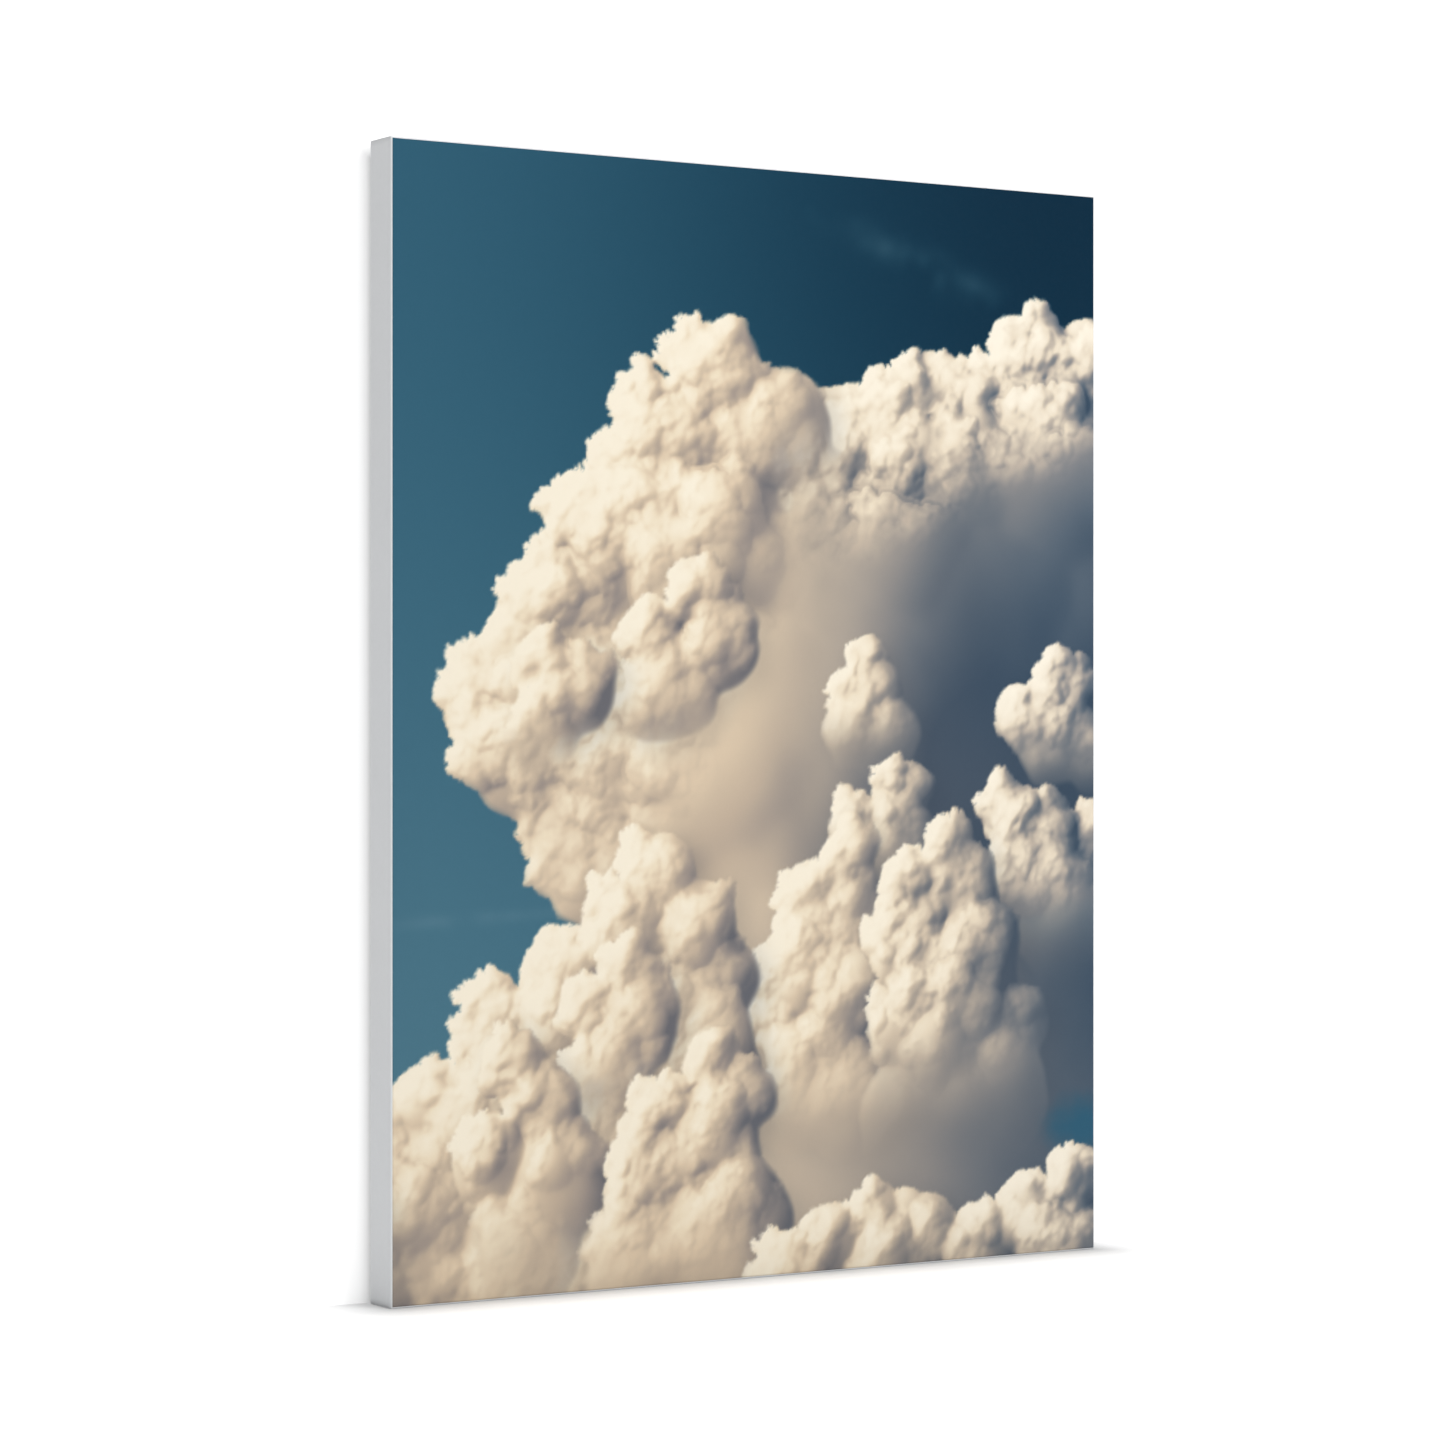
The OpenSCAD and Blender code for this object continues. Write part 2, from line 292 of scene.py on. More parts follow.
def weave(n, pitch):
    """Height from 0 to 1 of a plain weave, with its threads square to the canvas on every side of it."""
    x, y, z = n.split(n.position())
    normal_x, _, normal_z = n.split(n.add("NewGeometry", output="True Normal"))
    on_end = n.math("GREATER_THAN", n.math("ABSOLUTE", normal_x), 0.7)
    on_top = n.math("GREATER_THAN", n.math("ABSOLUTE", normal_z), 0.7)
    across = n.math("MULTIPLY_ADD", n.math("SUBTRACT", y, x), on_end, x)
    up = n.math("MULTIPLY_ADD", n.math("SUBTRACT", y, z), on_top, z)
    wobble = n.noise(n.position(), 60.0, 2.0)
    turn = math.pi / pitch
    u = n.math("MULTIPLY_ADD", across, turn, n.math("MULTIPLY", wobble, 5.0))
    v = n.math("MULTIPLY_ADD", up, turn, n.math("MULTIPLY", wobble, -4.0))
    over = n.math("MULTIPLY", n.math("SINE", u), n.math("SINE", v))
    warp = n.math("ABSOLUTE", n.math("SINE", u))
    weft = n.math("ABSOLUTE", n.math("SINE", v))
    picked = n.math("GREATER_THAN", over, 0.0)
    thread = n.math("ADD", n.math("MULTIPLY", warp, picked),
                    n.math("MULTIPLY", weft, n.math("SUBTRACT", 1.0, picked)))
    return n.math("MULTIPLY_ADD", n.math("ABSOLUTE", over), 0.6, n.math("MULTIPLY", thread, 0.4))


def cloth_material(name, colour, pitch, depth, stain_and_hollow_shade, rough):
    """Bare or primed cloth: woven, with slubs, a little uneven in tone, with painted shade in the
    weave's hollows.
    """
    n = Nodes(name)
    height = weave(n, pitch)
    slub = n.noise(n.position(), 220.0, 5.0, 0.6)
    broad = n.noise(n.position(), 7.0, 3.0)
    shade = n.math("ADD", n.math("MULTIPLY", slub, 0.5), n.math("MULTIPLY", broad, 0.5))
    dark = np.array(colour) * (1 - stain_and_hollow_shade * 2.2)
    base = n.ramp(shade, [(0.3, dark), (0.7, colour)])
    # Painted shade: the colour is darkened in the weave's hollows.
    base = n.mix(n.map(height, 0.0, 0.5, stain_and_hollow_shade * 3.0, 0.0), base, dark * 0.75)
    bump = n.bump(n.math("ADD", height, n.math("MULTIPLY", slub, 0.35)), depth)
    return n.finish(Base_Color=base, Roughness=rough, Normal=bump, Specular_IOR_Level=0.3,
                    Sheen_Weight=0.15, Sheen_Roughness=0.6)


def print_material():
    """Ink on primed canvas: the painted colour, with painted shade in the weave's hollows, and the weave
    under a satin coat.
    """
    n = Nodes("printed_ink")
    ink = n.add("Attribute", output="Color", attribute_name="cloudscape")
    grain = n.noise(n.position(), 1500.0, 2.0)
    ink = n.mix(n.map(grain, 0.3, 0.7, 0.0, 0.05), ink, (1, 1, 1), "OVERLAY")
    height = weave(n, THREAD_PITCH)
    # Painted shade: the ink is darkened by up to 14% in the weave's hollows.
    ink = n.mix(n.map(height, 0.0, 0.45, 0.14, 0.0), ink, (0, 0, 0))
    slub = n.noise(n.position(), 240.0, 5.0, 0.6)
    bump = n.bump(n.math("ADD", height, n.math("MULTIPLY", slub, 0.4)), 0.10 * MM)
    rough = n.map(slub, 0.3, 0.7, 0.58, 0.70)
    return n.finish(Base_Color=ink, Roughness=rough, Normal=bump, Specular_IOR_Level=0.06)


def knots(n, axis, shift, radius):
    """Scattered knots: 1 in a knot and 0 outside it, the swirl of grain round it, and the distance."""
    cells = np.full(3, 19.0)
    cells[axis] = 3.4
    squash = np.ones(3)
    squash[axis] = 0.65
    place = n.position(cells, shift)
    middle = n.add("TexVoronoi", {"Vector": place, "Scale": 1.0}, "Position")
    apart = n.vector("MULTIPLY", n.vector("SUBTRACT", place, middle), squash / cells)
    gap = n.add("VectorMath", {0: apart}, "Value", operation="LENGTH")
    gap = n.math("MULTIPLY_ADD", n.noise(n.position(), 160.0, 2.0), 1.6 * MM, gap)
    return n.map(gap, 1.25 * radius, 0.75 * radius), n.map(gap, 4.5 * radius, radius), gap


def wood_material(name, axis, shift, pale, dark, ring_gap=4.5 * MM, knot=4.5 * MM):
    """Wood whose grain runs along one of the object's axes (0 is X, 2 is Z)."""
    n = Nodes(name)
    along = np.ones(3)
    along[axis] = 0.045
    fine = np.ones(3)
    fine[axis] = 0.02
    place = n.position(along, shift)
    drift = n.noise(place, 22.0, 3.0, 0.5)
    heart, swirl, gap = knots(n, axis, shift, knot)
    coords = n.split(place)
    side = coords[2] if axis == 0 else coords[0]
    depth = n.math("ADD", coords[1], 0.035)
    square = n.math("ADD", n.math("MULTIPLY", side, side), n.math("MULTIPLY", depth, depth))
    radius = n.math("SQRT", square)
    radius = n.math("MULTIPLY_ADD", drift, 12 * MM, radius)
    radius = n.math("MULTIPLY_ADD", n.math("MULTIPLY", swirl, swirl), 6 * MM, radius)
    season = n.noise(n.add("CombineXYZ", {0: radius}), 110.0, 2.0)
    radius = n.math("MULTIPLY_ADD", season, 2.2 * ring_gap, radius)
    phase = n.math("FRACT", n.math("DIVIDE", radius, ring_gap))
    late = n.ramp(phase, [(0.0, (0, 0, 0)), (0.62, (0.25,) * 3), (0.9, (1, 1, 1)), (1.0, (0.05,) * 3)])
    fibre = n.noise(n.position(fine, shift), 1600.0, 4.0, 0.65)
    patch = n.noise(place, 9.0, 2.0)
    colour = n.mix(n.math("MULTIPLY", late, 0.8), pale, dark)
    colour = n.mix(n.map(fibre, 0.35, 0.75, 0.0, 0.35), colour, dark * 0.8)
    colour = n.mix(n.map(patch, 0.35, 0.7, 0.0, 0.30), colour, pale * [1.0, 0.9, 0.8])
    rings = n.math("SINE", n.math("MULTIPLY", gap, 5200.0))
    core = n.mix(n.map(rings, -1.0, 1.0), dark * [0.42, 0.32, 0.24], dark * [0.70, 0.56, 0.44])
    colour = n.mix(n.math("MULTIPLY", swirl, 0.30), colour, dark * [0.9, 0.8, 0.7])
    colour = n.mix(heart, colour, core)
    bump = n.bump(n.math("ADD", n.math("MULTIPLY", late, 0.35), fibre), 0.10 * MM)
    rough = n.map(fibre, 0.3, 0.7, 0.5, 0.72)
    return n.finish(Base_Color=colour, Roughness=rough, Normal=bump, Specular_IOR_Level=0.35)


def metal_material(name, colour, rough):
    """Plated steel: a little cloudy, with fine drawn lines."""
    n = Nodes(name)
    cloud = n.noise(n.position(), 240.0, 4.0)
    lines = n.noise(n.position((1, 1, 0.06)), 5200.0, 2.0)
    tone = n.mix(n.map(cloud, 0.3, 0.7, 0.0, 0.5), colour, np.array(colour) * 0.72)
    matt = n.map(cloud, 0.3, 0.7, rough * 0.8, rough * 1.3)
    matt = n.math("ADD", matt, n.map(lines, 0.3, 0.7, 0.0, 0.08))
    bump = n.bump(n.math("ADD", lines, cloud), 0.03 * MM)
    return n.finish(Base_Color=tone, Metallic=1.0, Roughness=matt, Normal=bump)


def rubber_material():
    """Matt black rubber with a little dust."""
    n = Nodes("bumper_rubber")
    grain = n.noise(n.position(), 2600.0, 3.0)
    dust = n.noise(n.position(), 500.0, 4.0)
    tone = n.mix(n.map(dust, 0.45, 0.8, 0.0, 0.35), srgb(44, 45, 47), srgb(104, 103, 100))
    rough = n.map(dust, 0.3, 0.7, 0.55, 0.8)
    return n.finish(Base_Color=tone, Roughness=rough, Normal=n.bump(grain, 0.03 * MM))


# ---------------- the printed cloudscape


COLS, ROWS = 508, 677
PIXEL = 1.0 / COLS
LIGHT = np.array([-0.70, 0.52, 0.44]) / np.linalg.norm([-0.70, 0.52, 0.44])
X, Y = np.meshgrid((np.arange(COLS) + 0.5) * PIXEL, (np.arange(ROWS) + 0.5) * PIXEL)
EMPTY = -1.0

# Each generation of puffs on a mass: how many a parent has, their size and reach as shares of its
# radius, and how much of its dark side stays bare
GROWTH = [(18, (0.32, 0.56), (0.70, 0.97), 0.30), (14, (0.26, 0.46), (0.76, 1.00), 0.50),
          (11, (0.30, 0.50), (0.82, 1.02), 0.50), (8, (0.36, 0.56), (0.88, 1.06), 0.60)]

# Blur of the light on a mass's seeds, billows, lumps and crumbs, and each one's share of the tone
LIGHT_BLUR = (0.045, 0.012, 0.0065, 0.0024)
SEED_LIGHT, BILLOW_LIGHT, LUMP_LIGHT, CRUMB_LIGHT = 0.31, 0.30, 0.30, 0.26

# Shares of the tone that the lit rim adds and that the cast shadow takes
RIM_LIGHT, CAST_SHADOW = 0.12, 0.22

# How far noise bends a mass's outline
WARP = 0.0016

# How dark the unlit sides of seeds and billows are, as a share of their true darkness
DARK_SIDE = 0.6

# Tone above which cloud whites ease off, and the room left above it
SHOULDER, HEADROOM = 0.74, 0.26

# Cloud colours from shade to light, on the picture's sunny side and on its far side
TONES = (0.0, 0.2, 0.42, 0.62, 0.80, 0.95)
WARM = screen((104, 104, 110), (150, 140, 134), (192, 174, 154), (220, 199, 172), (237, 221, 193),
              (248, 238, 217))
COOL = screen((52, 72, 92), (82, 97, 112), (124, 127, 132), (178, 168, 158), (228, 214, 192),
              (249, 240, 222))


def spectrum(rows, cols):
    """Frequency of each term of a real transform, in cycles per grid step."""
    return np.hypot(np.fft.fftfreq(rows)[:, None], np.fft.rfftfreq(cols)[None, :])


def blur(field, radius):
    """Gaussian blur; radius is in picture widths."""
    pad = min(int(3 * radius * COLS) + 2, COLS - 1)
    wide = np.pad(field, pad, mode="edge")
    gain = np.exp(-2 * (math.pi * radius * COLS * spectrum(*wide.shape)) ** 2)
    return np.fft.irfft2(np.fft.rfft2(wide) * gain, s=wide.shape)[pad:pad + ROWS, pad:pad + COLS]


def fractal(rng, slope, low):
    """Fractal noise, mean 0 and deviation 1, without waves longer than 1 / low of the width."""
    gain = 1.0 / np.maximum(spectrum(ROWS, COLS) * COLS, low) ** slope
    gain[0, 0] = 0
    field = np.fft.irfft2(np.fft.rfft2(rng.standard_normal((ROWS, COLS))) * gain, s=(ROWS, COLS))
    return field / field.std()


def blend(a, b, amount):
    """Mixes colours, or pictures, by a field."""
    return a + (b - a) * np.asarray(amount)[..., None]


def below(full, none, lean=0.0):
    """A field that is 1 below one height and 0 above another; lean lowers both towards the right."""
    return smooth(none, full, Y + lean * X)


def grow(rng, parents, count, size, reach, bare):
    """Smaller puffs on each puff's near side, more of them where the light falls."""
    out = []
    for x, y, z, r in parents:
        n = rng.poisson(count)
        turn = rng.uniform(0, 2 * math.pi, n)
        lift = np.sqrt(rng.uniform(0.02, 1.0, n))
        d = np.stack([np.cos(turn) * lift, np.sin(turn) * lift, np.sqrt(1 - lift ** 2)], 1)
        keep = d @ LIGHT > bare - rng.uniform(0, 0.9, n)
        child = r * rng.uniform(*size, n)
        far = r * rng.uniform(*reach, n)
        out += [(x + d[i, 0] * far[i], y + d[i, 1] * far[i], z + d[i, 2] * far[i], child[i])
                for i in np.nonzero(keep)[0] if child[i] > 1.2 * PIXEL]
    return out


def splat(puffs, wx, wy, height, inside):
    """Adds puffs to a height field, and to the depth of each point inside their outline."""
    height, inside = height.copy(), inside.copy()
    for x, y, z, r in puffs:
        reach = r * 1.25 + 4 * PIXEL
        c0, c1 = max(int((x - reach) * COLS), 0), min(int((x + reach) * COLS), COLS)
        r0, r1 = max(int((y - reach) * COLS), 0), min(int((y + reach) * COLS), ROWS)
        if c0 >= c1 or r0 >= r1:
            continue
        box = np.s_[r0:r1, c0:c1]
        d2 = (wx[box] - x) ** 2 + (wy[box] - y) ** 2
        over = r * r - d2
        top = np.where(over > 0, z + np.sqrt(np.maximum(over, 0)), EMPTY)
        np.maximum(height[box], top, out=height[box])
        np.maximum(inside[box], r - np.sqrt(d2), out=inside[box])
    return height, inside


def slope_light(height, radius):
    """Light that a blurred height field takes, above what a flat one takes."""
    gy, gx = np.gradient(blur(height, radius), PIXEL)
    return (LIGHT[2] - gx * LIGHT[0] - gy * LIGHT[1]) / np.sqrt(gx * gx + gy * gy + 1) - LIGHT[2]


def hollows(height, fine, broad, depth):
    """Positive on knobs and negative in the hollows between them."""
    return np.clip((blur(height, fine) - blur(height, broad)) / depth, -1.5, 1.2)


def cast(height, steps=14, reach=0.16):
    """Soft shadow that a height field throws on itself."""
    shade = np.zeros_like(height)
    flat = math.hypot(LIGHT[0], LIGHT[1])
    rows, cols = np.mgrid[0:ROWS, 0:COLS]
    for i in range(1, steps + 1):
        s = reach * (i / steps) ** 1.6
        dx = int(round(LIGHT[0] / flat * s * COLS))
        dy = int(round(LIGHT[1] / flat * s * COLS))
        moved = height[np.clip(rows + dy, 0, ROWS - 1), np.clip(cols + dx, 0, COLS - 1)]
        rise = moved - height - s * LIGHT[2] / flat
        shade = np.maximum(shade, np.clip(rise / (0.5 * s + 0.006), 0, 1))
    return shade


def tint(tone, warmth):
    """Cloud colour of a tone, mixed from the two ramps."""
    cool, warm = (np.stack([np.interp(tone, TONES, ramp[:, k]) for k in range(3)], -1)
                  for ramp in (COOL, WARM))
    return blend(cool, warm, warmth)


def sculpt(rng, puffs, z):
    """Height fields of a mass, coarse to fine, and the depth of each point inside its outline."""
    groups = [[(x, y, z, r) for x, y, r in puffs]]
    for generation in GROWTH:
        groups.append(grow(rng, groups[-1], *generation))
    wx = X + WARP * fractal(rng, 2.0, 12)
    wy = Y + WARP * fractal(rng, 2.0, 12)
    level = inside = np.full((ROWS, COLS), EMPTY)
    levels = []
    for group in (*groups[:3], groups[3] + groups[4]):
        level, inside = splat(group, wx, wy, level, inside)
        levels.append(level)
    ground = level[level != EMPTY].min() - 0.01
    return [np.where(h == EMPTY, ground, h) for h in levels], inside


def shade(heights, inside, body, calm):
    """Tone of each point of a mass, whose flat parts have the body's, and the light on its billows."""
    lights = [slope_light(h, radius) for h, radius in zip(heights, LIGHT_BLUR)]
    seed, billow = (np.where(light < 0, DARK_SIDE * light, light) for light in lights[:2])
    lump, crumb = lights[2:]
    relief = 0.07 * hollows(heights[3], 0.0018, 0.008, 0.008)
    relief += 0.12 * hollows(heights[2], 0.006, 0.03, 0.03)
    shadow = blur(cast(blur(heights[2], 0.005)), 0.016)
    lit = smooth(-0.25, 0.35, 0.6 * seed + 0.4 * billow) * (1 - 0.6 * shadow)
    keen = (1 - calm) * (0.35 + 0.65 * lit)
    rim = smooth(0.020, 0.0, inside) * smooth(-0.1, 0.5, billow)
    tone = body + SEED_LIGHT * seed + BILLOW_LIGHT * billow * (1 - 0.6 * calm)
    tone += keen * (LUMP_LIGHT * lump + CRUMB_LIGHT * crumb + relief + RIM_LIGHT * rim)
    tone -= CAST_SHADOW * shadow * (1 - 0.7 * calm)
    bright = np.maximum(tone - SHOULDER, 0)
    tone = np.minimum(tone, SHOULDER) + HEADROOM * (1 - np.exp(-bright / HEADROOM))
    return np.clip(tone, 0, 1), billow


def cover(rng, inside, billow, calm):
    """How much a mass hides: its outline is crisp where it is lit, and soft where it is calm or dark."""
    crisp = smooth(-0.0026, 0.0026, inside + 0.0006 * fractal(rng, 1.0, 30))
    soft = smooth(0.42, 0.92, blur((inside > 0).astype(float), 0.007))
    feather = np.clip(calm + 0.8 * smooth(0.05, -0.45, blur(billow, 0.008)), 0, 1)
    return crisp + (soft - crisp) * feather


def paint_mass(rng, picture, puffs, z, warmth, body, calm, fade):
    """Paints one cloud mass, grown from a few puffs (x, y, radius), over the picture.

    body is the tone of its flat parts. calm and fade are fields from 0 to 1 that say where it is
    smooth and where it is see-through.
    """
    heights, inside = sculpt(rng, puffs, z)
    tone, billow = shade(heights, inside, body, calm)
    alpha = cover(rng, inside, billow, calm) * (1 - fade)
    thrown = blur(np.roll(alpha, (-6, 9), (0, 1)), 0.016)
    blue = np.clip((picture[..., 2] - picture[..., 0]) / 0.25, 0, 1)
    picture = blend(picture, picture * screen(190, 197, 208), 0.6 * thrown * (1 - blue))
    return blend(picture, tint(tone, np.clip(warmth, 0, 1)), alpha)


def paint_sky(rng):
    """Evening blue, paler low down and on the left, with a few thin wisps."""
    low = blend(screen(76, 118, 136), screen(48, 92, 116), smooth(0, 1, X))
    top = blend(screen(48, 94, 116), screen(4, 41, 62), smooth(-0.1, 1.0, X))
    colour = blend(low, top, smooth(0.05, 1.0, Y / Y.max()))
    wisps = smooth(-0.6, 2.2, blur(fractal(rng, 1.8, 4), 0.006))
    high = np.exp(-((X - 0.74) / 0.14) ** 2 - ((Y - 1.235 + 0.35 * (X - 0.72)) / 0.022) ** 2)
    left = np.exp(-((X - 0.12) / 0.10) ** 2 - ((Y - 0.44 - 0.05 * (X - 0.1)) / 0.008) ** 2)
    return blend(colour, screen(150, 172, 182), 0.32 * wisps * (high + 0.6 * left))


def paint_mist(picture, warm, wander, drift):
    """The smooth bank that the front towers rise from, with a gap of sky low on the right."""
    bank = smooth(0.0, 0.12, 0.44 - Y + 0.10 * (X - 0.3) + 0.015 * wander)
    bank *= smooth(0.22, 0.36, X + 0.01 * drift)
    gap = np.hypot(X - 0.985, (Y - 0.16) * 1.4) + 0.010 * drift
    tone = 0.62 - 0.52 * smooth(0.42, 0.95, X) + 0.03 * wander
    return blend(picture, tint(tone, warm), bank * smooth(0.02, 0.075, gap))


def back_masses(warm, wander):
    """The far bank, then the main tower and its two spurs: puffs, depth, warmth, body, calm, fade."""
    yield ([(1.01, 1.09, 0.09), (0.91, 1.1, 0.075), (0.83, 1.06, 0.065), (0.75, 1.065, 0.06),
            (0.68, 1.02, 0.07), (0.6, 0.95, 0.1), (0.95, 0.94, 0.17), (0.76, 0.92, 0.15),
            (1.0, 0.7, 0.25), (0.75, 0.68, 0.25), (0.58, 0.78, 0.14), (0.55, 0.6, 0.16),
            (0.5, 0.94, 0.09)],
           0.05, warm * 0.75, 0.5 - 0.48 * smooth(1.12, 0.78, Y) * smooth(0.45, 0.82, X),
           smooth(1.06, 0.9, Y + 0.05 * wander), 0 * X)
    across = (X - 0.37) * 0.8 - (Y - 0.72) * 0.55 + 0.03 * wander
    sheltered = smooth(-0.1, 0.16, across)
    yield ([(0.44, 1.085, 0.065), (0.53, 1.02, 0.075), (0.36, 1.0, 0.075), (0.47, 1.0, 0.07),
            (0.29, 0.88, 0.085), (0.42, 0.88, 0.12), (0.21, 0.78, 0.08), (0.125, 0.69, 0.062),
            (0.18, 0.63, 0.08), (0.28, 0.66, 0.12), (0.24, 0.55, 0.07), (0.34, 0.53, 0.12),
            (0.5, 0.62, 0.18), (0.62, 0.84, 0.11), (0.52, 0.42, 0.15), (0.66, 0.62, 0.16)],
           0.2, warm * 1.1, 0.56 - 0.09 * sheltered - 0.2 * smooth(0.5, 0.8, X), sheltered,
           smooth(0.5, 0.69, X + 0.03 * wander) * smooth(1.05, 0.95, Y))
    yield ([(0.41, 0.82, 0.045), (0.345, 0.77, 0.045), (0.44, 0.755, 0.055), (0.37, 0.7, 0.06)],
           0.3, warm * 1.1, 0.49, below(0.46, 0.58, -0.4), below(0.48, 0.58, -0.3))
    yield ([(0.2, 0.74, 0.04), (0.25, 0.7, 0.05), (0.2, 0.655, 0.05)],
           0.3, warm * 1.1, 0.49, below(0.55, 0.65, -0.2), below(0.6, 0.68))


def front_masses(warm):
    """The towers in front, far ones first: puffs, depth, warmth, body, calm, fade."""
    yield ([(0.655, 0.745, 0.03), (0.628, 0.705, 0.03), (0.668, 0.7, 0.038), (0.635, 0.655, 0.045),
            (0.685, 0.65, 0.05)],
           0.3, warm, 0.48, below(0.6, 0.71), below(0.58, 0.69))
    yield ([(0.7, 0.575, 0.045), (0.635, 0.54, 0.04), (0.7, 0.51, 0.06), (0.64, 0.46, 0.07)],
           0.3, warm, 0.44, below(0.47, 0.56), below(0.4, 0.52))
    yield ([(0.885, 0.675, 0.04), (0.955, 0.705, 0.045), (0.93, 0.64, 0.055), (1.0, 0.63, 0.05)],
           0.3, warm, 0.46, below(0.58, 0.69), below(0.55, 0.65))
    yield ([(0.86, 0.56, 0.04), (0.925, 0.545, 0.04), (0.995, 0.52, 0.045), (0.9, 0.49, 0.07),
            (0.98, 0.42, 0.09)],
           0.35, warm, 0.42, below(0.4, 0.53), below(0.33, 0.47))
    yield ([(0.625, 0.5, 0.04), (0.575, 0.455, 0.045), (0.63, 0.43, 0.055), (0.56, 0.38, 0.06),
            (0.63, 0.34, 0.07), (0.535, 0.32, 0.045), (0.575, 0.27, 0.065), (0.54, 0.2, 0.06),
            (0.62, 0.2, 0.07)],
           0.4, warm * 1.2, 0.55, below(0.14, 0.34), below(0.08, 0.24))
    yield ([(0.775, 0.505, 0.04), (0.715, 0.465, 0.045), (0.8, 0.45, 0.055), (0.685, 0.41, 0.035),
            (0.72, 0.39, 0.06), (0.85, 0.395, 0.035), (0.8, 0.35, 0.08), (0.7, 0.32, 0.04),
            (0.76, 0.28, 0.09), (0.88, 0.29, 0.05), (0.84, 0.2, 0.09), (0.72, 0.18, 0.08)],
           0.45, warm * 1.15, 0.47, below(0.1, 0.3, -0.1), below(0.1, 0.3))
    yield ([(0.36, 0.485, 0.05), (0.31, 0.42, 0.065), (0.4, 0.42, 0.065), (0.22, 0.365, 0.055),
            (0.14, 0.315, 0.055), (0.25, 0.3, 0.08), (0.36, 0.33, 0.08), (0.45, 0.36, 0.05),
            (0.06, 0.2, 0.08), (0.16, 0.18, 0.1), (0.4, 0.24, 0.1), (0.02, 0.08, 0.09),
            (0.14, 0.05, 0.1), (0.28, 0.16, 0.1), (0.26, 0.02, 0.1)],
           0.36, warm * 1.1, 0.58, 0.25 * below(0.0, 0.3), 0 * X)
    yield ([(0.31, 0.375, 0.04), (0.27, 0.33, 0.045), (0.33, 0.31, 0.055), (0.29, 0.25, 0.06)],
           0.42, warm * 1.1, 0.52, 0.8 * below(0.18, 0.3), below(0.18, 0.28))
    yield ([(0.16, 0.27, 0.042), (0.2, 0.22, 0.05), (0.13, 0.16, 0.055), (0.22, 0.13, 0.07),
            (0.18, 0.05, 0.07)],
           0.45, warm * 1.1, 0.51, 0.8 * below(0.02, 0.18), 0.8 * below(-0.05, 0.12))
    yield ([(0.43, 0.26, 0.042), (0.48, 0.215, 0.042), (0.36, 0.19, 0.05), (0.43, 0.16, 0.07),
            (0.34, 0.11, 0.06), (0.46, 0.06, 0.09), (0.35, 0.03, 0.07)],
           0.5, warm * 1.1, 0.48, 0.9 * below(-0.02, 0.14), 0.7 * below(-0.08, 0.04))
    yield ([(0.6, 0.04, 0.045), (0.67, 0.07, 0.035), (0.74, 0.045, 0.045), (0.82, 0.02, 0.05),
            (0.895, 0.055, 0.05), (0.965, 0.085, 0.045), (0.95, 0.0, 0.07), (0.68, 0.0, 0.06),
            (0.54, -0.01, 0.06)],
           0.5, warm * 1.3, 0.54, 0.5 * below(-0.04, 0.05), 0 * X)


def paint_cloudscape():
    """An invented evening cloudscape, as sRGB values from 0 to 1, bottom row first."""
    rng = np.random.default_rng(SEED)
    picture = paint_sky(rng)
    wander, drift = fractal(rng, 2.4, 2), fractal(rng, 2.0, 5)
    warm = np.clip(1.55 - 1.45 * X + 0.06 * wander, 0.0, 1)
    for mass in back_masses(warm, wander):
        picture = paint_mass(rng, picture, *mass)
    picture = paint_mist(picture, warm, wander, drift)
    for mass in front_masses(warm):
        picture = paint_mass(rng, picture, *mass)
    return np.clip(picture, 0, 1)


# ---------------- cloth pieces


def canvas_print():
    """The printed front: a thin slab just proud of the cloth, coloured at each vertex."""
    xs = np.linspace(CANVAS_LO.x + EDGE_R, CANVAS_HI.x - EDGE_R, COLS)
    zs = np.linspace(CANVAS_LO.z + EDGE_R, CANVAS_HI.z - EDGE_R, ROWS)
    gx, gz = np.meshgrid(xs, zs)
    front = np.stack([gx, np.full_like(gx, Y_FACE - INK_PROUD), gz], -1).reshape(-1, 3)
    rim = grid_rim(ROWS, COLS)
    back = front[rim] + [0, 2 * INK_PROUD, 0]
    behind = len(front) + np.arange(len(rim))
    sides = np.stack([np.roll(rim, -1), rim, behind, np.roll(behind, -1)], -1)
    faces = np.concatenate([grid_faces(ROWS, COLS), sides]).tolist() + [behind[::-1].tolist()]
    verts = np.concatenate([front, back]).tolist()
    obj = new_mesh("canvas_print", verts, faces, [print_material()])
    in_front = np.arange(len(faces)) < (ROWS - 1) * (COLS - 1)
    obj.data.polygons.foreach_set("use_smooth", in_front)
    picture = paint_cloudscape().reshape(-1, 3)
    picture = np.concatenate([picture, picture[rim]])
    colours = np.concatenate([linear(picture), np.ones((len(picture), 1))], -1)
    layer = obj.data.color_attributes.new("cloudscape", "FLOAT_COLOR", "POINT")
    layer.data.foreach_set("color", colours.astype(np.float32).ravel())
    return obj


def ring_points(inset, depth, t_across, t_up):
    """A loop of points round the canvas at an inset from its edge: bottom, right, top, left."""
    x0, x1 = CANVAS_LO.x + inset, CANVAS_HI.x - inset
    z0, z1 = CANVAS_LO.z + inset, CANVAS_HI.z - inset
    x = [x0 + (x1 - x0) * t_across, np.full_like(t_up, x1),
         x1 + (x0 - x1) * t_across, np.full_like(t_up, x0)]
    z = [np.full_like(t_across, z0), z0 + (z1 - z0) * t_up,
         np.full_like(t_across, z1), z1 + (z0 - z1) * t_up]
    x, z = np.concatenate(x), np.concatenate(z)
    return np.stack([x, np.full_like(x, depth), z], -1)


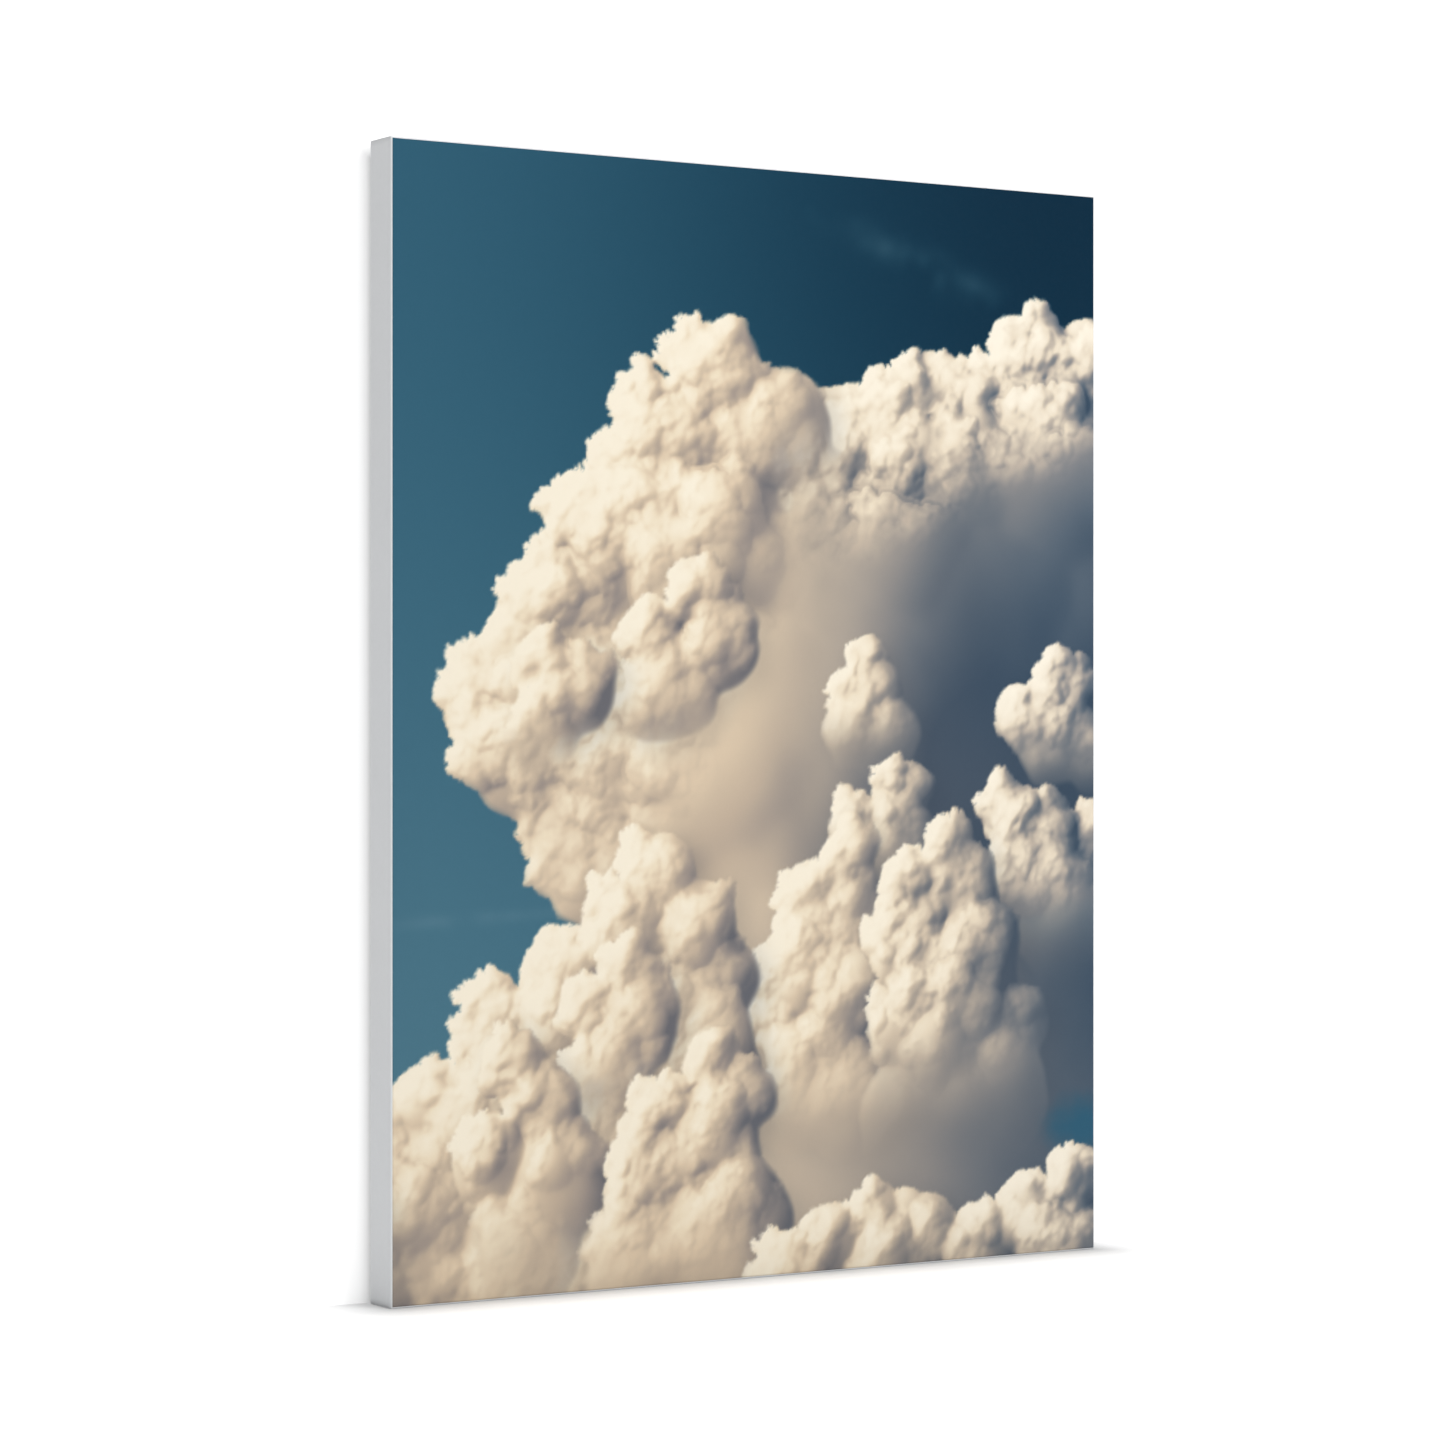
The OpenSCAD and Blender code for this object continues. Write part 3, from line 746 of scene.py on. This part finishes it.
def staple_places(node):
    """Middle of each staple of a CAD node's group, as x and z."""
    flat = np.array([(v.co.x, v.co.z) for v in frame["nodes"][node].data.vertices])
    order = np.argsort(flat @ np.array([1.0, 1.31]))
    groups = []
    for p in flat[order]:
        near = next((g for g in groups if np.linalg.norm(g[0] - p) < 15 * MM), None)
        if near is None:
            groups.append([p])
        else:
            near.append(p)
    return np.array([np.mean([np.min(g, 0), np.max(g, 0)], 0) for g in groups])


def wrap_profile():
    """The cloth's section, round a bar and back along its inside, as insets from the edge and depths."""
    arc = np.linspace(0, math.pi / 2, 6)
    outside = [(8 * MM, Y_FACE), (4 * MM, Y_FACE)]
    outside += [(EDGE_R * (1 - math.sin(a)), Y_FACE + EDGE_R * (1 - math.cos(a))) for a in arc]
    outside += [(0.0, y) for y in np.linspace(Y_FACE + EDGE_R, Y_HEM - BACK_R, 9)[1:-1]]
    outside += [(BACK_R * (1 - math.cos(a)), Y_HEM - BACK_R * (1 - math.sin(a))) for a in arc]
    outside += [(a * MM, Y_HEM) for a in (3, 6, 9, 12, 14, 16, 19, 22, 24.4)]
    inside = [(HEM, Y_HEM - 0.15 * MM), (HEM, Y_BAR_BACK + 0.1 * MM)]
    inside += [(a, Y_BAR_BACK + 0.02 * MM) for a in (24.4 * MM, 16 * MM, 8 * MM, LINING)]
    inside += [(LINING, y) for y in (0.6 * Y_BAR_BACK, 0.0, 0.6 * Y_BAR_FRONT)]
    inside += [(LINING, Y_BAR_FRONT + 0.9 * MM), (1.4 * MM, Y_SHEET), (7 * MM, Y_SHEET)]
    return outside, inside


def pleat_corners(rings):
    """Raises the folded layer of cloth at each end of the top and bottom edges."""
    x, y, z = np.moveaxis(rings, 2, 0)
    depth = y - Y_FACE
    from_end = np.minimum(x - CANVAS_LO.x, CANVAS_HI.x - x)
    from_edge = np.minimum(z - CANVAS_LO.z, CANVAS_HI.z - z)
    on_edge = (from_edge < 1.2 * MM) & (depth > 1 * MM)
    fold = smooth(-1.5 * MM, 1.5 * MM, depth - from_end) * smooth(0.2 * MM, 1.2 * MM, from_end)
    outward = np.sign(z - (CANVAS_LO.z + CANVAS_HI.z) / 2)
    rings[:, :, 2] += np.where(on_edge, outward * FOLD_PROUD * fold, 0)


def loft_hem(rings, profile):
    """Lets the hem rise between its staples, but not under the corner folds."""
    on_back = Y_HEM - 0.001 * MM
    rows = np.array([i for i, (inset, y) in enumerate(profile) if y > on_back and inset > 2 * MM])
    groups = ["staples_" + side for side in ("top", "bottom", "left", "right")]
    staples = np.concatenate([staple_places(node) for node in groups])
    x, z = rings[rows, :, 0], rings[rows, :, 2]
    apart = np.hypot(x[:, :, None] - staples[:, 0], z[:, :, None] - staples[:, 1])
    nearest = np.min(apart, axis=-1)
    inset = np.array([profile[i][0] for i in rows])[:, None]
    from_fold = np.maximum(WIDTH / 2 - np.abs(x), np.minimum(z, HEIGHT - z))
    loft = HEM_LOFT * (1 - np.exp(-(nearest / (9 * MM)) ** 2)) * smooth(2 * MM, 12 * MM, inset)
    rings[rows, :, 1] += loft * smooth(56 * MM, 70 * MM, from_fold)


def wander_hem(rng, rings, profile, sides):
    """Lets the hem's cut edge wander in and out; sides gives the axis that each point's side faces."""
    rows = np.array([i for i, (inset, _) in enumerate(profile) if inset > 24 * MM])
    count = rings.shape[1]
    wave = np.convolve(rng.standard_normal(count + 8), np.hanning(9), "valid")[:count]
    middle = (CANVAS_LO + CANVAS_HI) / 2
    for axis in (0, 2):
        move = np.sign(middle[axis] - rings[rows, :, axis]) * 0.28 * MM * wave
        rings[rows, :, axis] += np.where(sides == axis, move, 0)


def bare_back(rings, t_across, t_up):
    """The cloth behind the picture, a rippled sheet that fills the last ring: new vertices and quads."""
    nx, nz = len(t_across), len(t_up)
    used = rings[..., 0].size
    last = used - rings.shape[1]
    grid = np.zeros((nz + 1, nx + 1), int)
    grid[0, :nx] = last + np.arange(nx)
    grid[:nz, nx] = last + nx + np.arange(nz)
    grid[nz, nx:0:-1] = last + nx + nz + np.arange(nx)
    grid[nz:0:-1, 0] = last + 2 * nx + nz + np.arange(nz)
    (x0, _, z0), (x1, _, z1) = rings[-1].min(0), rings[-1].max(0)
    gx, gz = np.meshgrid(x0 + (x1 - x0) * t_across[1:], z0 + (z1 - z0) * t_up[1:])
    from_rim = np.minimum(np.minimum(gx - x0, x1 - gx), np.minimum(gz - z0, z1 - gz))
    ripple = 0.06 * MM * np.sin(gx * 90 + 3 * np.sin(gz * 11)) * np.sin(gz * 60 + 2 * np.sin(gx * 13))
    gy = Y_SHEET + ripple * smooth(0, 60 * MM, from_rim)
    grid[1:-1, 1:-1] = used + np.arange(gx.size).reshape(gx.shape)
    quads = np.stack([grid[:-1, :-1], grid[1:, :-1], grid[1:, 1:], grid[:-1, 1:]], -1).reshape(-1, 4)
    return np.stack([gx, gy, gz], -1).reshape(-1, 3), quads


def canvas_wrap(rng, primed, raw):
    """The cloth itself: one closed shell round the bars, with its hem on the back."""
    nx, nz = round(WIDTH / WRAP_STEP), round(HEIGHT / WRAP_STEP)
    t_across, t_up = np.arange(nx) / nx, np.arange(nz) / nz
    outside, inside = wrap_profile()
    profile = outside + inside
    rings = np.array([ring_points(inset, y, t_across, t_up) for inset, y in profile])
    pleat_corners(rings[:len(outside)])
    loft_hem(rings, outside)
    wander_hem(rng, rings, profile, np.repeat([2, 0, 2, 0], [nx, nz, nx, nz]))
    count = rings.shape[1]
    sheet, quads = bare_back(rings, t_across, t_up)
    verts = np.concatenate([rings.reshape(-1, 3), sheet])
    band = grid_faces(len(profile), count, wrap=True, flip=True)
    front = list(range(count))[::-1]
    slots = np.concatenate([np.arange(len(band)) >= len(outside) * count, np.ones(len(quads)), [0]])
    return new_mesh("canvas_wrap", verts, band.tolist() + quads.tolist() + [front], [primed, raw], slots)


def padded_quad(corners, thick, loft):
    """A closed slab over a quad in X-Z, lying on y = 0, with rounded edges and a lofted middle."""
    corners = np.array(corners)
    s = np.linspace(0, 1, 11)[:, None, None]
    t = np.linspace(0, 1, 15)[None, :, None]
    s, t = (smooth(0, 1, share) * 0.5 + share * 0.5 for share in (s, t))
    flat = ((1 - s) * (1 - t) * corners[0] + s * (1 - t) * corners[1]
            + s * t * corners[2] + (1 - s) * t * corners[3])
    s, t = s[:, :, 0], t[:, :, 0]
    edge = np.minimum(np.minimum(s, 1 - s) / 0.06, np.minimum(t, 1 - t) / 0.04)
    top = thick * (0.35 + 0.65 * np.sqrt(np.clip(edge, 0, 1)))
    top += loft * np.sin(math.pi * s) * np.sin(math.pi * t)
    rows, cols = flat.shape[:2]
    upper = np.stack([flat[..., 0], top, flat[..., 1]], -1).reshape(-1, 3)
    lower = upper * [1, 0, 1]
    verts = np.concatenate([upper, lower])
    faces = grid_faces(rows, cols).tolist() + grid_faces(rows, cols, rows * cols, flip=True).tolist()
    rim = grid_rim(rows, cols)
    for a, b in zip(rim, np.roll(rim, -1)):
        faces.append([a, a + rows * cols, b + rows * cols, b])
    return verts, faces


def corner_folds(cloth):
    """The four folded flaps of cloth that lie over the hem's corners."""
    parts = []
    flap = np.array([[1.5, 0.3], [26.0, 24.5], [56.0, 24.5], [47.0, 0.3]]) * MM
    for sx in (-1, 1):
        for sz in (-1, 1):
            verts, faces = padded_quad(flap, CLOTH, 0.25 * MM)
            edge_x = CANVAS_LO.x if sx < 0 else CANVAS_HI.x
            edge_z = CANVAS_LO.z if sz < 0 else CANVAS_HI.z
            x, y, z = verts.T
            verts = np.stack([edge_x - sx * x, Y_HEM + 0.05 * MM + y, edge_z - sz * z], -1)
            parts.append((verts, [face[::-1] for face in faces] if sx * sz > 0 else faces))
    verts, faces = join(parts)
    return new_mesh("canvas_corner_folds", verts, faces, [cloth])


def tube(path, radius, sides):
    """A closed tube along a path: vertices, faces, and the path's two crossing directions."""
    path = np.asarray(path, float)
    tangent = np.gradient(path, axis=0)
    tangent /= np.linalg.norm(tangent, axis=1)[:, None]
    normal = np.cross(tangent[0], [0.31, 0.87, 0.42])
    normals = []
    for t in tangent:
        normal = normal - t * (normal @ t)
        normal = normal / np.linalg.norm(normal)
        normals.append(normal)
    normals = np.array(normals)
    binormals = np.cross(tangent, normals)
    angle = np.arange(sides) / sides * 2 * math.pi
    cos, sin = np.cos(angle)[None, :, None], np.sin(angle)[None, :, None]
    ring = normals[:, None] * cos + binormals[:, None] * sin
    verts = (path[:, None] + radius * ring).reshape(-1, 3)
    faces = grid_faces(len(path), sides, wrap=True).tolist()
    faces.append(list(range(sides))[::-1])
    faces.append([(len(path) - 1) * sides + i for i in range(sides)])
    return verts, faces, normals, binormals


def hem_threads(rng, cloth):
    """Loose thread ends along the cut edge of the hem."""
    parts = []
    middle = (CANVAS_LO + CANVAS_HI) / 2
    half = {0: WIDTH / 2 - HEM, 2: HEIGHT / 2 - HEM}
    for across, up, sign in ((0, 2, 1), (2, 0, 1), (0, 2, -1), (2, 0, -1)):
        span = half[up] - 8 * MM
        for place in rng.uniform(-span, span, int(span * 2 / (1.3 * MM))):
            length = rng.uniform(0.5, 1.0) * rng.choice([1.2, 1.6, 3.4], p=[0.6, 0.3, 0.1]) * MM
            lean = rng.normal(0, 0.5)
            s = np.linspace(0, 1, 5)
            path = np.zeros((5, 3))
            path[:, across] = middle[across] + sign * (half[across] + 0.3 * MM - s * length)
            path[:, up] = middle[up] + (place + s * s * length * lean)
            path[:, 1] = Y_HEM - 0.25 * MM + rng.uniform(-0.1, 0.25) * MM + 0.5 * s * (1 - s) * length
            parts.append(tube(path, 0.11 * MM, 4)[:2])
    verts, faces = join(parts)
    return new_mesh("hem_threads", verts, faces, [cloth])


# ---------------- picture wire


def chaikin(path, rounds):
    """Rounds a path's corners by cutting them."""
    for _ in range(rounds):
        q = 0.75 * path[:-1] + 0.25 * path[1:]
        r = 0.25 * path[:-1] + 0.75 * path[1:]
        path = np.concatenate([path[:1], np.stack([q, r], 1).reshape(-1, path.shape[1]), path[-1:]])
    return path


def resample(path, step):
    """A path's points at an even step."""
    lengths = np.concatenate([[0], np.cumsum(np.linalg.norm(np.diff(path, axis=0), axis=1))])
    places = np.linspace(0, lengths[-1], int(lengths[-1] / step) + 1)
    return np.stack([np.interp(places, lengths, path[:, k]) for k in range(3)], -1)


def wire_geometry():
    """The wire's line in its left half: loop centre, direction to the peak, length."""
    peak_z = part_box("picture_wire")[1].z
    hinge = next(j for j in frame["joints"] if j["child"] == "wire")["pos_m"]
    loop = np.array(hinge)
    slope = math.atan2(peak_z - loop[2], -loop[0])
    direction = np.array([math.cos(slope), 0.0, math.sin(slope)])
    return loop, direction, -loop[0] / direction[0]


def picture_wire(steel):
    """Braided wire: six strands twisted along one path, looped on each ring and wound on itself."""
    loop, along, run = wire_geometry()
    out = np.array([0.0, 1.0, 0.0])
    side = np.cross(along, out)
    s = np.linspace(0, 1, 420)
    wind = 2 * math.pi * WOUND_TURNS * s
    swell = WOUND_R * smooth(0, 0.04, s)
    tail = (loop + np.outer(WOUND_TO - (WOUND_TO - NECK) * s, along)
            + (swell * np.cos(wind))[:, None] * out + (swell * np.sin(wind))[:, None] * side)
    turn = np.radians(np.linspace(62, 298, 14))
    bend = [loop + LOOP_R * (math.cos(a) * along + math.sin(a) * out) for a in turn]
    bend = [loop + NECK * 0.8 * along + LEG_OUT * out] + bend
    bend += [loop + NECK * 0.8 * along - LEG_OUT * out, loop + NECK * 1.5 * along]
    standing = [loop + along * d for d in np.linspace(NECK * 2.2, run - PEAK_EASE, 30)]
    half = np.concatenate([tail, bend, standing])
    path = np.concatenate([half, half[::-1] * [-1, 1, 1]])
    path = resample(chaikin(path, 2), WIRE_STEP)
    verts, faces, normals, binormals = tube(path, CORE_R, 5)
    parts = [(verts, faces)]
    for k in range(STRANDS):
        turn = 2 * math.pi * (np.arange(len(path)) * WIRE_STEP / LAY + k / STRANDS)
        off = normals * np.cos(turn)[:, None] + binormals * np.sin(turn)[:, None]
        parts.append(tube(path + STRAND_OUT * off, STRAND_R, 5)[:2])
    verts, faces = join(parts)
    return new_mesh("braided_wire", verts, faces, [steel])


# ---------------- bumpers


def bumper(node, rubber):
    """A moulded rubber foot: a turned shape with a rounded rim and a dished end."""
    lo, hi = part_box(node)
    r, tall = (hi.x - lo.x) / 2, hi.y - lo.y
    centre = (lo + hi) / 2
    round_r, foot = 1.6 * MM, 0.5 * MM
    arc = np.linspace(0, math.pi / 2, 8)
    profile = [(r, 0.0), (r, foot), (r - 0.35 * MM, foot + 0.4 * MM)]
    profile += [(r - 0.6 * MM - round_r * (1 - math.cos(a)), tall - round_r * (1 - math.sin(a)))
                for a in arc]
    dish = ((0.58, 0.0), (0.50, 0.25), (0.34, 0.38), (0.15, 0.42))
    profile += [(k * r, tall - dip * MM) for k, dip in dish]
    turn = np.arange(48) / 48 * 2 * math.pi
    verts = np.array([[centre.x + p * math.cos(t), lo.y + h, centre.z + p * math.sin(t)]
                      for p, h in profile for t in turn])
    faces = grid_faces(len(profile), len(turn), wrap=True, flip=True).tolist()
    faces.append(list(range(len(turn))))
    faces.append([len(verts) - 1 - i for i in range(len(turn))])
    return new_mesh(node.replace("bumper", "rubber_bumper"), verts, faces, [rubber])


# ---------------- CAD nodes


def dress(node, material, rounding=0.0):
    """Gives a CAD node one material and smooth curved faces, and may round its edges with a modifier."""
    obj = frame["nodes"][node]
    obj.data.materials.clear()
    obj.data.materials.append(material)
    weld = obj.modifiers.new("weld", "WELD")
    weld.merge_threshold = 0.003 * MM
    if rounding:
        bevel = obj.modifiers.new("bevel", "BEVEL")
        bevel.width = rounding
        bevel.segments = 2
        bevel.limit_method = "ANGLE"
        bevel.angle_limit = math.radians(35)
    split = obj.modifiers.new("split", "EDGE_SPLIT")
    split.split_angle = math.radians(38)
    obj.data.polygons.foreach_set("use_smooth", np.ones(len(obj.data.polygons), bool))


def dress_cad_nodes():
    """Pine bars, beech keys, and plated steel for the staples and hangers."""
    pine, late = srgb(226, 196, 152), srgb(196, 150, 98)
    beech, beech_late = srgb(224, 188, 146), srgb(200, 158, 112)
    bars = {"rail_top": 0, "rail_bottom": 0, "stile_left": 2, "stile_right": 2, "cross_brace": 0}
    for i, (node, axis) in enumerate(bars.items()):
        centre = (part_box(node)[0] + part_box(node)[1]) / 2
        rail_shift, stile_shift = (0.31 * i, 0.0, -centre.z - 0.012), (0.013 - centre.x, 0.0, 0.37 * i)
        shift = stile_shift if axis else rail_shift
        dress(node, wood_material("pine_" + node, axis, shift, pine, late), 0.5 * MM)
    keys = {0: wood_material("beech_sideways", 0, (0.2, 0, 0.1), beech, beech_late, 3 * MM, 0.1 * MM),
            2: wood_material("beech_upright", 2, (0.1, 0, 0.2), beech, beech_late, 3 * MM, 0.1 * MM)}
    steel = metal_material("staple_steel", srgb(196, 197, 200), 0.26)
    zinc = metal_material("hanger_zinc", srgb(206, 207, 208), 0.28)
    screw = metal_material("screw_zinc", srgb(198, 200, 204), 0.24)
    for node in frame["nodes"]:
        if node.startswith("key_"):
            dress(node, keys[2 if node.endswith("_a") else 0], 0.35 * MM)
        elif node.startswith("staples"):
            dress(node, steel, 0.12 * MM)
        elif node.startswith("hanger"):
            dress(node, screw if node == "hanger_screws" else zinc)


# ---------------- stage


def stage_material(name, axes, centre, half, reach, glow, one_sided=False):
    """White paper that burns out, with a soft shadow round a rectangle in two of its axes."""
    n = Nodes(name)
    coords = n.split(n.position())
    beyond = []
    for axis, middle, reach_half in zip(axes, centre, half):
        off = n.math("ABSOLUTE", n.math("SUBTRACT", coords[axis], middle))
        beyond.append(n.math("MAXIMUM", n.math("SUBTRACT", off, reach_half), 0.0))
    square = n.math("MULTIPLY", beyond[1], beyond[1])
    gap = n.math("SQRT", n.math("MULTIPLY_ADD", beyond[0], beyond[0], square))
    near = n.map(gap, 0.0, reach, 1.0, 0.0)
    shade = n.math("MULTIPLY_ADD", n.math("MULTIPLY", near, near), -SHADOW_DEPTH, 1.0)
    grey = n.add("CombineXYZ", {0: shade, 1: shade, 2: shade})
    paper = n.add("BsdfDiffuse", {"Color": grey})
    power = n.math("MULTIPLY", n.add("LightPath", output="Is Camera Ray"), glow)
    light = n.add("Emission", {"Color": grey, "Strength": power})
    surface = n.add("AddShader", {0: paper, 1: light})
    if one_sided:
        clear = n.add("BsdfTransparent")
        back = n.add("NewGeometry", output="Backfacing")
        surface = n.add("MixShader", {0: back, 1: surface, 2: clear})
    n.node("OutputMaterial", {"Surface": surface})
    return n.owner


def build_stage():
    """A pale floor under the canvas, and a white wall behind it that only the camera sees."""
    foot = (WIDTH / 2, (Y_HEM - Y_FACE) / 2)
    paper = stage_material("floor_paper", (0, 1), (0, 0), foot, FLOOR_SHADOW, FLOOR_GLOW)
    corners = [(-FAR, -FAR, 0), (FAR, -FAR, 0), (FAR, FAR, 0), (-FAR, FAR, 0)]
    floor = new_mesh("floor", corners, [(0, 1, 2, 3)], [paper])
    centre = (WALL_SHADOW_SHIFT[0], HEIGHT / 2 + WALL_SHADOW_SHIFT[1])
    face = (WIDTH / 2, HEIGHT / 2)
    paper = stage_material("wall_paper", (0, 2), centre, face, WALL_SHADOW, WALL_GLOW, one_sided=True)
    back = cad_box[1].y + 0.1 * MM
    corners = [(-FAR, back, 0), (FAR, back, 0), (FAR, back, FAR), (-FAR, back, FAR)]
    wall = new_mesh("wall", corners, [(0, 1, 2, 3)], [paper])
    wall.visible_diffuse = False
    wall.visible_glossy = False
    wall.visible_transmission = False
    wall.visible_shadow = False


def area_light(name, where, target, size, power, only=None):
    """A round soft light; only is the collection that it lights, if not everything."""
    light = bpy.data.lights.new(name, "AREA")
    light.shape = "DISK"
    light.size = size
    light.energy = power
    obj = add_object(name, light)
    obj.location = where
    aim(obj, Vector(target) - Vector(where))
    if only:
        obj.light_linking.receiver_collection = only


def build_lights():
    """An even white surround, a soft light in front, and a fill behind that only the object takes."""
    n = Nodes("studio", "worlds")
    bpy.context.scene.world = n.owner
    white = (1, 1, 1)
    ambient = n.add("Background", {"Color": white, "Strength": AMBIENT})
    paper = n.add("Background", {"Color": white, "Strength": WHITE_PAPER})
    seen = n.add("LightPath", output="Is Camera Ray")
    n.node("OutputWorld", {"Surface": n.add("MixShader", {0: seen, 1: ambient, 2: paper})})
    lit_from_behind = bpy.data.collections.new("lit_from_behind")
    for obj in bpy.context.scene.objects:
        if obj.type == "MESH" and obj.name not in ("floor", "wall"):
            lit_from_behind.objects.link(obj)
    middle = (0, 0, HEIGHT / 2)
    area_light("front_soft", (1.6, -3.2, 2.4), middle, 2.4, FRONT_POWER)
    area_light("back_soft", (1.1, 2.8, 2.6), middle, 1.4, BACK_POWER, lit_from_behind)


def build_camera():
    """A level camera at the canvas's mid height, turned so that it sees the left edge."""
    forward = Vector((math.sin(CAMERA_TURN), math.cos(CAMERA_TURN), 0))
    right = Vector((math.cos(CAMERA_TURN), -math.sin(CAMERA_TURN), 0))
    face = Vector((0, Y_FACE, HEIGHT / 2))
    data = bpy.data.cameras.new("camera")
    data.sensor_width = 36
    data.lens = CAMERA_LENS
    camera = add_object("camera", data)
    camera.location = face - CAMERA_AWAY * forward - CAMERA_ASIDE * right
    aim(camera, forward)
    bpy.context.scene.camera = camera


# ---------------- build


def stand_in(piece, body, node):
    """A piece that rides on a body, in place of a CAD node, which it hides."""
    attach(piece, body)
    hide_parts(node)


def main():
    rng = np.random.default_rng(SEED + 1)
    primed = cloth_material("primed_cloth", srgb(236, 238, 240), THREAD_PITCH, 0.10 * MM, 0.02, 0.62)
    raw = cloth_material("raw_cloth", srgb(224, 213, 192), 0.75 * MM, 0.18 * MM, 0.07, 0.85)
    steel = metal_material("wire_steel", srgb(190, 190, 192), 0.34)
    wrap = canvas_wrap(rng, primed, raw)
    for piece in (wrap, canvas_print(), corner_folds(primed), hem_threads(rng, primed)):
        stand_in(piece, "frame", "canvas")
    stand_in(picture_wire(steel), "wire", "picture_wire")
    rubber = rubber_material()
    for node in ("bumper_left", "bumper_right"):
        stand_in(bumper(node, rubber), "frame", node)
    dress_cad_nodes()
    build_stage()
    build_lights()
    build_camera()
    bpy.context.scene.view_settings.view_transform = "Standard"
    bpy.context.scene.view_settings.look = "None"


main()
